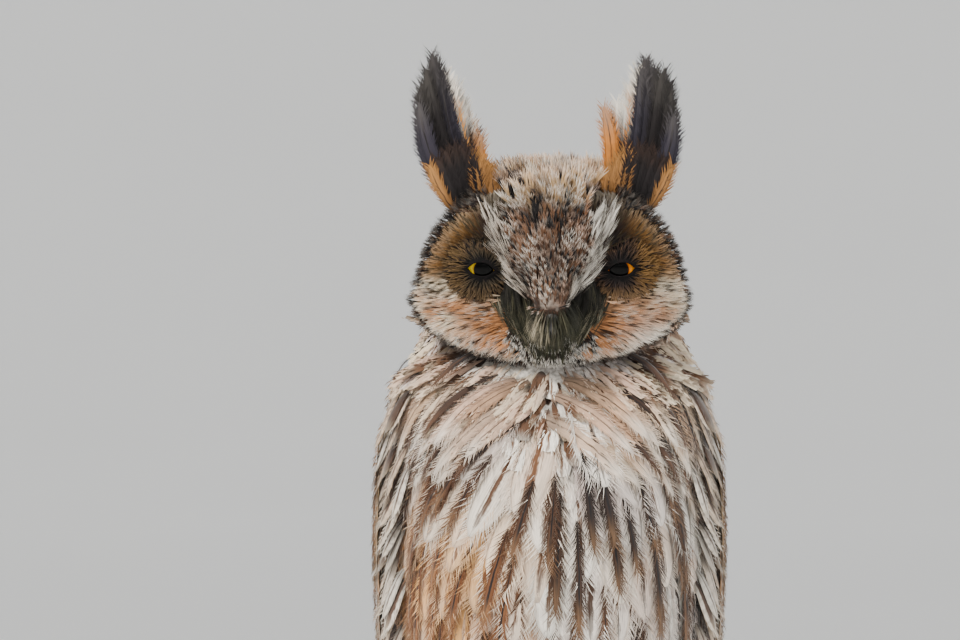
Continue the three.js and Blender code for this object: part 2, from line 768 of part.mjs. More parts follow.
// The nodes, each cut clear of what it touches
const SIDES = [
  ["right", -1],
  ["left", 1],
];
const LOOKS = {
  plumage: { color: 0xb89b74, roughness: 0.9, metalness: 0 },
  pale: { color: 0xd9c7a4, roughness: 0.9, metalness: 0 },
  barred: { color: 0x7d6a52, roughness: 0.85, metalness: 0 },
  tuft: { color: 0x2e2620, roughness: 0.85, metalness: 0 },
  eye: { color: 0xe8a21c, roughness: 0.1, metalness: 0 },
  bill: { color: 0x2b2a2a, roughness: 0.4, metalness: 0 },
  claw: { color: 0x17161a, roughness: 0.35, metalness: 0 },
  bark: { color: 0x5d4a3a, roughness: 0.95, metalness: 0 },
  wood: { color: 0x6b4a2f, roughness: 0.5, metalness: 0 },
  steel: { color: 0x8a8c90, roughness: 0.35, metalness: 1 },
};
const owl = new THREE.Group();

function node(name, look, body) {
  const mesh = new THREE.Mesh(geometryOf(whole(body)), new THREE.MeshStandardMaterial(LOOKS[look]));
  mesh.name = name;
  owl.add(mesh);
}

const headGrown = headForm(GAP);
const torsoGrown = torsoForm(GAP);
const ruffGrown = placedOnHead(join(ruffLocks(GAP)));
const tailGrown = tailRoom(GAP);

const locks = placedOnHead(join(ruffLocks(), browLocks(), bristleLocks()));
const face = join(headForm(), locks, SIDES.map(([, side]) => lidForm(side)));
const sockets = SIDES.map(([, side]) => socketForm(side));
const billRoom = placedOnHead(
  limb(
    [vec(0, -30.6, -3), vec(0, -37.4, -10), vec(0, -40.4, -13.5), vec(0, -38.8, -18), vec(0, -39, -22)],
    [5.2, 4.7, 3.9, 2.7, 1.2],
    10,
    8,
  ),
);
node("head", "plumage", face.subtract(join(sockets, billRoom, billLower(GAP))));
node("bill_upper", "bill", billUpper());
node("bill_lower", "bill", billLower().subtract(billRoom));
node("torso", "plumage", torsoForm().subtract(join(headGrown, ruffGrown, tailGrown)));
node("neck", "plumage", neckForm().subtract(join(headGrown, torsoGrown)));
node("tail", "barred", tailFeathers());

for (const [name, side] of SIDES) {
  node(`eye_${name}`, "eye", eyeForm(side));
  node(`ear_tuft_${name}`, "tuft", tuftForm(TUFTS[name]).subtract(join(headGrown, ruffGrown)));
  node(`wing_${name}`, "barred", join(wingCore(side), wingFeathers(side)).subtract(join(torsoGrown, tailGrown, neckForm(GAP))));
  node(`leg_${name}`, "pale", legForm(side).subtract(join(torsoGrown, footForm(side, GAP))));
  node(`foot_${name}`, "pale", footForm(side).subtract(perchForm(GAP)));
  for (const toe of TOES) {
    node(`claw_${name}_${toe.name}`, "claw", clawForm(side, toe).subtract(join(toeForm(side, toe, GAP), perchForm(GAP))));
  }
  node(`stand_rod_${name}`, "steel", standRod(side));
}

node("perch", "bark", perchForm());
node("stand_base", "wood", standBase());

export default owl;
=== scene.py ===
# %% [markdown]
# # A long-eared owl at roost
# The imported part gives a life-size owl in plain solids, on a short branch over a display stand.
# This lesson dresses it: one skin under the whole bird, a coat of small feathers that Geometry
# Nodes plant on that skin, large feathers laid along guide curves, and then eyes, bill, claws,
# bark and the stand. The loader brings the part in as a fixed frame, and everything below is
# set in that same frame, in millimetres until a mesh is made.

# %% The frame
import json
import math

import bmesh
import bpy
import numpy as np
from mathutils import Matrix, Vector
from mathutils.bvhtree import BVHTree

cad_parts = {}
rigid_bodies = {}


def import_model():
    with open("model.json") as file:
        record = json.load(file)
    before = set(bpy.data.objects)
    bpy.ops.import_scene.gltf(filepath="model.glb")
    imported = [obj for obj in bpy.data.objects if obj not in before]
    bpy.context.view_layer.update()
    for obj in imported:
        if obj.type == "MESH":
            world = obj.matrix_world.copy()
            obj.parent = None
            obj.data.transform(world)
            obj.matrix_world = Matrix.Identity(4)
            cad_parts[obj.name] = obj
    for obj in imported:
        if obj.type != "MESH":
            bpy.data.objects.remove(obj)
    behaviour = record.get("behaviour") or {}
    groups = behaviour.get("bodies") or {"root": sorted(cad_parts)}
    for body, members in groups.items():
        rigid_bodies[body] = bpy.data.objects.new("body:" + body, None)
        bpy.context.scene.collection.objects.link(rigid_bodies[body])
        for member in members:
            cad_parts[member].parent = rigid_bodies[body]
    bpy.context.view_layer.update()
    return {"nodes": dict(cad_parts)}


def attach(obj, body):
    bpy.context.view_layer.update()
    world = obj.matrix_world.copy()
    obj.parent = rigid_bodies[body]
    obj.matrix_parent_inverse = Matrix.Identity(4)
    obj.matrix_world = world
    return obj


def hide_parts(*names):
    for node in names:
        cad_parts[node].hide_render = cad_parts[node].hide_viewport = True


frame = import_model()
MM = 0.001
print("nodes in the frame:", len(frame["nodes"]))

# %% [markdown]
# ## Camera, floor and light
# The bird was watched from far away at its own height, so a long lens on a level camera gives
# the same flat, calm perspective. A short lens close by would swell the face. The paper-white
# bowl and three big soft lamps are a plain photo studio: a key from the upper left, a wide
# fill from the right, and a lamp behind that draws a thin bright edge round the feathers.

# %% Camera
VIEW_CENTRE = (-21.3, 300.5)  # sideways and up, what the middle of the picture shows
VIEW_WIDTH, FACE_FRONT, LENS = 288, 38, 200  # what the picture spans, and where the face is
camera_data = bpy.data.cameras.new("long_lens")
camera_data.lens = LENS
camera = bpy.data.objects.new("long_lens", camera_data)
bpy.context.scene.collection.objects.link(camera)
distance = VIEW_WIDTH * LENS / camera_data.sensor_width
camera.location = (VIEW_CENTRE[0] * MM, -(distance + FACE_FRONT) * MM, VIEW_CENTRE[1] * MM)
camera.rotation_euler = (math.radians(90), 0, 0)
bpy.context.scene.camera = camera
print(f"camera {distance:.0f} mm in front of the face")

# %% Studio sweep and lamps
def plain_object(name, mesh):
    made = bpy.data.objects.new(name, mesh)
    bpy.context.scene.collection.objects.link(made)
    return made


def sweep(radius, height, bend, around=96):
    """A round floor that curves up into a wall on every side."""
    profile = [(radius - bend, 0.0)]
    for a in np.radians(np.linspace(0, 90, 13)):
        profile.append((radius - bend + bend * math.sin(a), bend - bend * math.cos(a)))
    profile.append((radius, height))
    points = [(0.0, 0.0, 0.0)]
    for r, z in profile:
        points += [
            (r * math.cos(b), r * math.sin(b), z) for b in np.arange(around) / around * 2 * math.pi
        ]
    faces = [(0, 1 + j, 1 + (j + 1) % around) for j in range(around)]
    for i in range(len(profile) - 1):
        for j in range(around):
            a, b = 1 + i * around + j, 1 + i * around + (j + 1) % around
            faces.append((a, a + around, b + around, b))
    mesh = bpy.data.meshes.new("studio_sweep")
    mesh.from_pydata(points, [], faces)
    for face in mesh.polygons:
        face.use_smooth = True
    return plain_object("studio_sweep", mesh)


floor = sweep(9, 7, 3)


def lamp(name, place, aim, size, power, tint):
    data = bpy.data.lights.new(name, "AREA")
    data.shape = "DISK"
    data.size = size
    data.energy = power
    data.color = tint
    made = bpy.data.objects.new(name, data)
    made.location = place
    made.rotation_euler = (Vector(aim) - Vector(place)).to_track_quat("-Z", "Y").to_euler()
    bpy.context.scene.collection.objects.link(made)
    return made


MIDDLE = (0, 0, 0.27)
lamp("key", (-0.75, -1.1, 1.45), MIDDLE, 0.4, 44, (1.0, 0.96, 0.9))
lamp("fill", (1.3, -1.2, 0.6), MIDDLE, 1.2, 8, (0.93, 0.96, 1.0))
lamp("rim", (0.5, 1.1, 1.2), MIDDLE, 0.7, 14, (1.0, 1.0, 1.0))
SKY_COLOUR, SKY_STRENGTH = (0.85, 0.88, 0.92, 1), 0.2
world = bpy.data.worlds.new("studio")
world.use_nodes = True
sky = world.node_tree.nodes["Background"].inputs
sky["Color"].default_value, sky["Strength"].default_value = SKY_COLOUR, SKY_STRENGTH
bpy.context.scene.world = world

# %% [markdown]
# ## Node trees from plain calls
# Materials and Geometry Nodes are both graphs. Placing nodes by hand suits a person at a
# screen. A script reads better when one call adds a node, sets its options and wires its
# inputs, so the same short helper serves both kinds of tree all through the lesson.

# %% Helpers for node trees
def add(tree, kind, inputs=None, **options):
    """Adds a node; an input given as a socket is wired, any other value is set."""
    made = tree.nodes.new(kind)
    for key, value in options.items():
        setattr(made, key, value)
    for key, value in (inputs or {}).items():
        if isinstance(value, bpy.types.NodeSocket):
            tree.links.new(value, made.inputs[key])
        else:
            made.inputs[key].default_value = value
    return made


def calc(tree, operation, a, b=0.0, c=0.0):
    return add(tree, "ShaderNodeMath", {0: a, 1: b, 2: c}, operation=operation).outputs[0]


def times(tree, a, b):
    return calc(tree, "MULTIPLY", a, b)


def plus(tree, a, b):
    return calc(tree, "ADD", a, b)


def minus(tree, a, b):
    return calc(tree, "SUBTRACT", a, b)


def combine(tree, x, y, z=0.0):
    return add(tree, "ShaderNodeCombineXYZ", {0: x, 1: y, 2: z}).outputs[0]


def separate(tree, vector):
    return add(tree, "ShaderNodeSeparateXYZ", {0: vector}).outputs


def vector_calc(tree, operation, a, b=(0, 0, 0)):
    made = add(tree, "ShaderNodeVectorMath", {0: a}, operation=operation)
    key = 3 if operation == "SCALE" else 1
    if isinstance(b, bpy.types.NodeSocket):
        tree.links.new(b, made.inputs[key])
    else:
        made.inputs[key].default_value = b
    return made.outputs[1 if operation in ("LENGTH", "DOT_PRODUCT") else 0]


def ramp_between(tree, value, low, high, start=0.0, end=1.0):
    """start below low, end above high, and a smooth change between."""
    made = add(tree, "ShaderNodeMapRange", interpolation_type="SMOOTHSTEP")
    for key, given in enumerate((value, low, high, start, end)):
        if isinstance(given, bpy.types.NodeSocket):
            tree.links.new(given, made.inputs[key])
        else:
            made.inputs[key].default_value = given
    return made.outputs[0]


def blend_colours(tree, share, a, b, mode="MIX"):
    made = add(tree, "ShaderNodeMix", data_type="RGBA", blend_type=mode)
    for key, given in ((0, share), (6, a), (7, b)):
        if isinstance(given, bpy.types.NodeSocket):
            tree.links.new(given, made.inputs[key])
        else:
            made.inputs[key].default_value = given if key == 0 else (*given, 1)
    return made.outputs[2]


def colour(code):
    """A screen colour, such as "b5713a", as the linear light values that Blender works in."""
    parts = np.array([int(code[i : i + 2], 16) for i in (0, 2, 4)]) / 255
    return np.where(parts <= 0.04045, parts / 12.92, ((parts + 0.055) / 1.055) ** 2.4)


def material(name, roughness, specular=0.5, sheen=0.0, coat=0.0, metallic=0.0):
    made = bpy.data.materials.new(name)
    made.use_nodes = True
    tree = made.node_tree
    shader = tree.nodes["Principled BSDF"]
    for key, value in {
        "Roughness": roughness,
        "Specular IOR Level": specular,
        "Sheen Weight": sheen,
        "Coat Weight": coat,
        "Metallic": metallic,
    }.items():
        shader.inputs[key].default_value = value
    return made, tree, shader


def own_place(tree):
    """Where a point is on the piece, in metres in the shared frame."""
    return add(tree, "ShaderNodeTexCoord").outputs["Object"]


def grain(tree, place, scale, detail=3.0, rough=0.55, stretch=None):
    """Noise on a place, its cells 1/scale across; stretch squeezes it along the three axes."""
    if stretch:
        place = vector_calc(tree, "MULTIPLY", place, stretch)
    inputs = {"Vector": place, "Scale": scale, "Detail": detail, "Roughness": rough}
    return add(tree, "ShaderNodeTexNoise", inputs).outputs["Fac"]


def bump(tree, shader, height, strength, depth):
    made = add(tree, "ShaderNodeBump", {"Strength": strength, "Distance": depth, "Height": height})
    tree.links.new(made.outputs[0], shader.inputs["Normal"])


def paint(tree, shader, shade):
    tree.links.new(shade, shader.inputs["Base Color"])


PAPER = [(0.84, 0.84, 0.83), (0.88, 0.88, 0.87)]
PAPER_GLOW = 0.42  # the paper gives a little light of its own, so that it stays even
paper, tree, shader = material("studio_paper", 0.9, 0.2)
cloudy = blend_colours(tree, grain(tree, own_place(tree), 3.0), *PAPER)
paint(tree, shader, cloudy)
tree.links.new(cloudy, shader.inputs["Emission Color"])
shader.inputs["Emission Strength"].default_value = PAPER_GLOW
floor.data.materials.append(paper)

# %% [markdown]
# ## The bird's measures
# The solids were made from short tables of heights and widths. The skin and the feathers have
# to lie just inside those solids, so the tables and the few formulas that join them come
# back here, worked on whole arrays of points at once. Heights are above the table top.

# %% Tables of the body
HEAD_PITCH = math.radians(16)
HEAD_PIVOT = np.array([0.0, -17.0, 323.0])
EYE_SPACING = 42
EYE_RADIUS, EYE_LEVEL = 9.6, -1.0
TORSO = [
    [108, 41, 14, 8, 12], [125, 34, 24, 14, 20], [145, 22, 35, 23, 30], [165, 10, 43, 34, 40],
    [190, 3, 48, 43, 45], [220, -1, 49.5, 47, 45], [250, -3, 49, 46, 42], [268, -4, 48.5, 41, 40],
    [280, -4, 48, 35, 38.5], [290, -4, 46, 29, 36.5], [299, -3, 38, 20, 30],
]
NECK = [
    [276, -4, 40, 24, 38], [290, -4, 42, 18, 39], [300, -3, 41, 15, 36],
    [310, -2, 38, 15, 31.5], [320, 0, 34, 15, 26], [330, 2, 28, 15, 20],
]
MANTLE = [
    [34, 66, 17, 10, 10], [70, 50, 26, 17, 18], [110, 34, 33, 24, 25.5],
    [145, 20, 39.5, 29, 35.5], [165, 10, 43.5, 34, 41.5],
] + [row for row in TORSO if row[0] > 180]
RIM = [
    [-90, 25], [-60, 27.5], [-36, 35.5], [-18, 42.8], [0, 40],
    [24, 36.5], [45, 33], [66, 29.5], [90, 28.5],
]
FACE_CENTRE, HEAD_BACK, NAPE_DROP = -4, 38, 9


def between(rows, position):
    """Values between the rows of a table, on smooth curves; the first column is the position."""
    table = np.asarray(rows, float)
    at, values = table[:, 0], table[:, 1:]
    x = np.clip(np.asarray(position, float), at[0], at[-1])
    i = np.clip(np.searchsorted(at, x, side="right") - 1, 0, len(at) - 2)
    before, after = np.maximum(i - 1, 0), np.minimum(i + 2, len(at) - 1)
    span = (at[i + 1] - at[i])[..., None]
    s = (x - at[i])[..., None] / span
    slope_a = (values[i + 1] - values[before]) / (at[i + 1] - at[before])[..., None]
    slope_b = (values[after] - values[i]) / (at[after] - at[i])[..., None]
    start = (1 + 2 * s) * (1 - s) ** 2 * values[i] + s * (1 - s) ** 2 * span * slope_a
    return start + s * s * (3 - 2 * s) * values[i + 1] + s * s * (s - 1) * span * slope_b


def curve_at(rows, position):
    """A table with one value a row, read as a curve."""
    return between(rows, position)[..., 0]

def bell(x, width):
    return np.exp(-((x / width) ** 2))


def smooth(low, high, x):
    """0 below low, 1 above high, smooth between; low may be above high to turn it round."""
    s = np.clip((x - low) / (high - low), 0, 1)
    return s * s * (3 - 2 * s)


def mix(a, b, share):
    """One colour or a row of them, the share of the way from a to b."""
    share = np.asarray(share, float)
    return a + (b - a) * (share[..., None] if share.ndim else share)


def clamp(value):
    """Held between 0 and 1."""
    return np.clip(value, 0, 1)


def vectors(x, y, z):
    """Rows of three, from arrays or single numbers."""
    return np.stack(np.broadcast_arrays(x, y, z), -1)


# %% The head's own formulas
def rim_reach(angle):
    return curve_at(RIM, np.degrees(np.arcsin(np.clip(np.sin(angle), -1, 1))))


def face_depth(x, z, share):
    dome = 30.5 - 0.0088 * x * x - 0.0075 * z * z
    wide = 7.5 + 7.5 * clamp((z + 6) / 24)
    ridge = 6 * bell(x, wide) * (1 - clamp((z - 4) / 26) * 0.7)
    ridge = ridge * (1 - clamp((-z - 14) / 16) * 0.75)
    dish = 2 * bell(abs(x) - EYE_SPACING / 2 - 1, 11) * bell(z - EYE_LEVEL, 12)
    cheek = 1.8 * bell(abs(x) - 26, 11) * bell(z + 19, 8)
    return dome + ridge - dish + cheek + 1.6 * bell(share - 0.93, 0.1)


def head_at(t, angle):
    """The head's outside: t from 0 in the middle of the face to 1 at the back."""
    reach, side, up = rim_reach(angle), np.cos(angle), np.sin(angle)
    share = (np.minimum(t, 0.5) / 0.5) ** 0.92
    x, z = reach * share * side, FACE_CENTRE + reach * share * up
    front = np.stack([x, -face_depth(x, z, share), z], -1)
    back = np.maximum(t - 0.5, 0) / 0.5
    rim_z = FACE_CENTRE + reach * up
    rim_y = -face_depth(reach * side, rim_z, np.ones_like(t))
    shrink = np.maximum(0, np.cos(back * math.pi / 2)) ** 0.72
    bulge = np.sin(back * math.pi)
    drop = NAPE_DROP * bulge * clamp(-up + 0.3)
    deep = np.sin(back * math.pi / 2) ** 1.15
    rear = np.stack([
        reach * side * shrink * (1 - 0.02 * bulge),
        rim_y + (HEAD_BACK - rim_y) * deep,
        rim_z * shrink + 2 * (1 - shrink) - drop,
    ], -1)
    return np.where((t <= 0.5)[..., None], front, rear)


NOD = np.array(Matrix.Rotation(HEAD_PITCH, 3, "X"))


def on_head(points):
    """From the head's own frame, eye level at 0 and the face towards -Y, to the shared frame."""
    return np.asarray(points, float) @ NOD.T + HEAD_PIVOT


def to_head(points):
    return (np.asarray(points, float) - HEAD_PIVOT) @ NOD


def eye_centre(side):
    return np.array([side * EYE_SPACING / 2, -18.4, EYE_LEVEL])


# %% [markdown]
# ## Closed shells and limbs
# Body parts here are stretched globes: rings of points between two poles. Toes, legs, claws
# and the bill are the same globe drawn out along a curved path. Both could be sculpted, but a
# formula keeps them true to the solids, and each one comes out closed with its faces outward.

# %% Shells and limbs
def shell(around, rings, at):
    """Points and faces of a globe; at(v, angle) gives its outside, v from 0 to 1 between poles."""
    v, turn = np.meshgrid(
        np.linspace(0, 1, rings + 1)[1:-1], np.arange(around) / around * 2 * math.pi, indexing="ij"
    )
    poles = at(np.array([0.0, 1.0]), np.zeros(2))
    points = np.vstack([poles[:1], at(v.ravel(), turn.ravel()), poles[1:]])
    last, faces = len(points) - 1, []
    for j in range(around):
        k = (j + 1) % around
        faces.append((0, 1 + j, 1 + k))
        faces.append((last, last - around + k, last - around + j))
        for i in range(rings - 2):
            a = 1 + i * around
            faces.append((a + j, a + around + j, a + around + k, a + k))
    return points, faces


def barrel(rows, top, bottom, round_share, inset, around=72, rings=60):
    def at(v, angle):
        z = (top - inset) + (bottom - top + 2 * inset) * v
        cy, half, fore, aft = between(rows, z).T
        near = np.minimum(v, 1 - v) / round_share
        k = np.where(near >= 1, 1, np.sqrt(np.maximum(0, 1 - (1 - near) ** 2)))
        depth = np.where(np.cos(angle) > 0, fore, aft) - inset
        return np.stack([(half - inset) * k * np.sin(angle), cy - depth * k * np.cos(angle), z], -1)

    return shell(around, rings, at)


def smooth_path(corners, count):
    """Points on a curve through the corners, evenly spaced."""
    corners = np.asarray(corners, float)
    rows = np.column_stack([np.arange(len(corners)), corners])
    fine = between(rows, np.linspace(0, len(corners) - 1, 400))
    run = np.concatenate([[0], np.cumsum(np.linalg.norm(np.diff(fine, axis=0), axis=1))])
    want = np.linspace(0, run[-1], count)
    return np.column_stack([np.interp(want, run, fine[:, k]) for k in range(3)])


def unit(vectors):
    vectors = np.asarray(vectors, float)
    return vectors / np.maximum(1e-9, np.linalg.norm(vectors, axis=-1, keepdims=True))


def limb(corners, radii, around=20, rings=24, flat=1.0, side=(1, 0, 0)):
    """A round form along a path, a radius at each corner; flat thins it along the side axis."""
    path = smooth_path(corners, rings + 1)
    ahead = unit(np.gradient(path, axis=0))
    across = unit(np.asarray(side, float) - ahead * (ahead @ np.asarray(side, float))[:, None])
    over = np.cross(ahead, across)
    stations = np.column_stack([np.linspace(0, 1, len(radii)), radii])

    def at(v, angle):
        i = np.round(v * rings).astype(int)
        r = between(stations, v)[:, 0] * np.sqrt(np.minimum(1, np.minimum(v, 1 - v) * 8))
        r = np.where((i == 0) | (i == rings), 0, r)
        wide, deep = r * np.cos(angle) * flat, r * np.sin(angle)
        return path[i] + across[i] * wide[:, None] + over[i] * deep[:, None]

    return shell(around, rings, at)


def globe(centre, radius, around=24, rings=16):
    def at(v, angle):
        polar = v * math.pi
        ring = np.sin(polar)
        ball = np.stack([ring * np.cos(angle), ring * np.sin(angle), np.cos(polar)], -1)
        return np.asarray(centre) + radius * ball

    return shell(around, rings, at)


def mesh_object(name, parts):
    """One object, in metres, from parts that are each (points in mm, faces)."""
    points, faces, start = [], [], 0
    for part_points, part_faces in parts:
        points.append(np.asarray(part_points, float) * MM)
        faces.extend(tuple(start + i for i in face) for face in part_faces)
        start += len(part_points)
    mesh = bpy.data.meshes.new(name)
    mesh.from_pydata(np.vstack(points).tolist(), [], faces)
    work = bmesh.new()
    work.from_mesh(mesh)
    bmesh.ops.recalc_face_normals(work, faces=work.faces)
    work.to_mesh(mesh)
    work.free()
    mesh.polygons.foreach_set("use_smooth", [True] * len(mesh.polygons))
    return plain_object(name, mesh)


def evaluated_mesh(thing):
    graph = bpy.context.evaluated_depsgraph_get()
    return bpy.data.meshes.new_from_object(thing.evaluated_get(graph))


def apply_modifiers(thing):
    """Bakes the object's modifiers into its mesh."""
    old, made = thing.data, evaluated_mesh(thing)
    thing.data = made
    thing.modifiers.clear()
    bpy.data.meshes.remove(old)
    made.name = thing.name


# %% [markdown]
# ## Perch and feet, the measures
# The toes bend round a round branch, two forward and two back, as an owl's do. Their places
# are angles round the branch from its top, so each toe stays on the bark whatever its length.

# %% Perch measures
PERCH_TOP, PERCH_RADIUS, PERCH_LENGTH = 124, 13, 168
PERCH_AXIS = PERCH_TOP - PERCH_RADIUS
LEG_SPACING, TOE_RADIUS, GAP = 36, 4.3, 0.35
TOE_ARC = PERCH_RADIUS + TOE_RADIUS + GAP
TOE_START, TOE_END, CLAW_START, CLAW_END = -4, 74, 70, 128  # degrees round the branch
TOES = [  # name, place across the foot at root and at tip, and -1 forward or 1 back
    ("inner", -3.5, -6.5, -1), ("middle", 3, 4.5, -1), ("outer", 4, 8, 1), ("hind", -3.5, -4.5, 1),
]
SIDES = [("right", -1), ("left", 1)]  # the bird's own, so its right is on the left of the picture


def on_perch(x, degrees, way, radius):
    turn = math.radians(degrees)
    return [x, way * radius * math.sin(turn), PERCH_AXIS + radius * math.cos(turn)]


def toe_path(side, root, tip, way):
    foot, bend = side * LEG_SPACING / 2, TOE_END - TOE_START
    return [
        on_perch(foot + side * (root + (tip - root) * s), TOE_START + bend * s, way, TOE_ARC)
        for s in (0, 0.33, 0.66, 1)
    ]


# %% [markdown]
# ## One skin under the feathers
# The head, neck, body, legs and toes of a real bird are one skin. Each is drawn here as its own
# closed form, smaller than the solid by the depth of the feathers, and a voxel remesh then
# fuses them, which rounds the creases where they meet. Joining by Booleans would keep seams.

# %% The skin's forms
BODY_COAT, NECK_COAT, LEG_COAT, TOE_COAT = 5.5, 5.0, 2.6, 1.1  # depth of the feathers
HEEL_RADIUS, TOE_RADII = 6.4, np.array([5, 4.4, 4.1, 3.9]) * 0.977
BRISTLE_BED = [(0, -28, -1), (0, -34.5, -6), (0, -37.6, -12), (0, -37.2, -17)]


def head_skin():
    def at(t, angle):
        p = head_at(t, angle)
        ring = np.hypot(abs(p[:, 0]) - EYE_SPACING / 2, p[:, 2] - EYE_LEVEL)
        brow_ridge = 0.75 * smooth(14, 28, p[:, 2]) * smooth(24, 12, p[:, 1])
        coat = (2.2 + 1.8 * smooth(-20, 5, p[:, 1])) * (1 - brow_ridge)
        coat = coat - 1.7 * bell(ring - 11.5, 3.5) * (p[:, 1] < -5)
        coat = coat + 6 * smooth(8, 30, p[:, 1]) * smooth(0, 22, p[:, 2])  # a rounder back
        return on_head(p - unit(p) * coat[:, None])

    return shell(96, 80, at)


def leg_skin(side):
    x = side * LEG_SPACING / 2
    path = [(x * 1.05, 12, 176), (x * 1.05, 6, 156), (x, 0, PERCH_TOP + 8)]
    return limb(path, [13 - LEG_COAT, 11.5 - LEG_COAT, 7.6 - LEG_COAT])


def foot_skin(side):
    heel = globe((side * LEG_SPACING / 2, 0, PERCH_TOP + HEEL_RADIUS + GAP), HEEL_RADIUS - TOE_COAT)
    r = TOE_RADII - TOE_COAT * np.array([1, 1, 1, 0.6])
    return [heel] + [limb(toe_path(side, root, tip, way), r, 14, 20) for _, root, tip, way in TOES]


parts = [
    barrel(TORSO, 304, 104, 0.09, BODY_COAT),
    barrel(NECK, 333, 272, 0.2, NECK_COAT),
    head_skin(),
    limb(on_head(BRISTLE_BED), [5.6, 5.6, 5.0, 2.8]),  # the bristles over the bill spring from it
]
for _, side in SIDES:
    parts += [leg_skin(side), *foot_skin(side)]
skin = mesh_object("skin", parts)

# %% Fused, smoothed and unwrapped
VOXEL = 1.7
remesh = skin.modifiers.new("fuse", "REMESH")
remesh.mode, remesh.voxel_size, remesh.use_smooth_shade = "VOXEL", VOXEL * MM, True
relax = skin.modifiers.new("relax", "SMOOTH")
relax.factor, relax.iterations = 0.5, 5
apply_modifiers(skin)
bpy.context.view_layer.objects.active = skin
skin.select_set(True)
skin.data.uv_layers.new(name="OFBake")
bpy.ops.object.mode_set(mode="EDIT")
bpy.ops.mesh.select_all(action="SELECT")
bpy.ops.uv.smart_project(angle_limit=math.radians(66), island_margin=0.003)
bpy.ops.object.mode_set(mode="OBJECT")
skin.select_set(False)
count = len(skin.data.vertices)
print(f"skin: {count} points, {len(skin.data.polygons)} faces")

# %% [markdown]
# ## Where each point of the skin is
# A coat needs to know, for every point, whether it is breast or back, how far from the eye,
# and so on. These few arrays are that map. The markings and the lie of the feathers are all
# written from them, so they are rules of the bird's own shape and not a painted picture.

# %% Places on the skin
place = np.empty(count * 3)
skin.data.vertices.foreach_get("co", place)
place = place.reshape(-1, 3) / MM
normal = np.empty(count * 3)
skin.data.vertices.foreach_get("normal", normal)
normal = normal.reshape(-1, 3)
x, y, z = place.T
own = to_head(place)
hx, hy, hz = own.T
rim = np.hypot(hx, hz - FACE_CENTRE) / rim_reach(np.arctan2(hz - FACE_CENTRE, hx))
body_y = between(TORSO, z)[:, 0]
turn = np.degrees(np.arctan2(abs(x), -(y - body_y)))  # round the body from the breast
eye_x = abs(hx) - EYE_SPACING / 2
eye_far = np.hypot(eye_x, hz - EYE_LEVEL)
face = (rim < 1.0) & (hy < -9) & (z > 286)
skull = ~face & (z > 303 - 6 * smooth(0, 30, y)) & ((hy > -12) | (rim > 0.97))
trunk = ~face & ~skull
print(f"face {face.sum()}, skull {skull.sum()}, trunk {trunk.sum()}")


def cloud(points, size, seed):
    """Slow random change over the surface, from about -1 to 1."""
    rng = np.random.default_rng(seed)
    total = np.zeros(len(points))
    for _ in range(7):
        way = unit(rng.normal(size=3))
        wave = points @ way * (2 * math.pi / size) * rng.uniform(0.6, 1.5)
        total += np.sin(wave + rng.uniform(0, 6.3))
    return total / 3


def lying(way, lift):
    """Directions along the skin, tipped up from it by the lift in degrees."""
    way = np.broadcast_to(np.asarray(way, float), normal.shape)
    flat = unit(way - normal * np.sum(way * normal, axis=1)[:, None])
    lift = np.radians(np.broadcast_to(lift, (count,)))[:, None]
    return flat * np.cos(lift) + normal * np.sin(lift)


def head_way(vectors):
    return np.asarray(vectors, float) @ NOD.T


# %% [markdown]
# ## Small feathers to plant
# A contour feather has a firm web round a shaft and loose barbs along its edges. Face feathers
# are little more than a few bare barbs. Real ones have hundreds of barbs, and a coat has ten
# thousand feathers, so each model here keeps the outline and a few loose blades: enough to
# break the edge, with only a few dozen faces. Three of each kind are made, so that neighbours
# differ. Every point also stores how far across and how far along its feather it is, which is
# what the markings are painted from.

# %% Feather models
def feather_model(
    name, outline, rows, steps, barbs, seed, arch=0.10, curl=0.10, reach=0.2, thin=0.035
):
    """A feather one unit long and wide: a web, and loose barbs that fan from its edges."""
    rng = np.random.default_rng(seed)
    points, faces, vane = [], [], []

    def height(u, v, wide):
        return 0.06 * math.sin(math.pi * min(1, v)) - curl * v * v - arch * u * u * wide * 0.5

    for i in range(rows + 1):
        v = i / rows * 0.9
        wide = float(curve_at(outline, v))
        for u in steps:
            round_end = 0.1 * wide * (1 - abs(u)) * (i == rows)
            points.append((u * wide / 2, v + round_end, height(u, v, wide)))
            vane.append((u, v, 0))
    across = len(steps)
    for i in range(rows):
        for j in range(across - 1):
            a = i * across + j
            faces.append((a, a + 1, a + across + 1, a + across))
    for k in range(barbs):
        side = -1 if k % 2 else 1
        v = 0.22 + 0.68 * (k + 0.5) / barbs + rng.uniform(-0.02, 0.02)
        wide = float(curve_at(outline, v))
        u = side * rng.uniform(0.35, 0.85)
        lean = side * rng.uniform(0.35, 0.75) * (1.0 - 0.75 * max(0, v - 0.6) / 0.4)
        long = reach * rng.uniform(0.7, 1.25)
        start = np.array([u * wide / 2, v, height(u, v, wide) + 0.012])
        ahead = np.array([math.sin(lean) * 0.9, math.cos(lean), rng.uniform(-0.2, 0.12)])
        tip = start + ahead * long
        out = np.array([math.cos(lean), -math.sin(lean), 0]) * thin
        base = len(points)
        middle = start + ahead * long * 0.55 + np.array([0, 0, 0.02])
        points += [start - out, start + out, middle + out * 0.8, middle - out * 0.8, tip]
        half_way, far_end = (u * 1.1, v + long / 2, 0), (u * 1.2, min(1, v + long), 0)
        vane += [(u, v, 0), (u, v, 0), half_way, half_way, far_end]
        faces += [(base, base + 1, base + 2, base + 3), (base + 3, base + 2, base + 4)]
    return small_mesh(name, points, faces, vane)


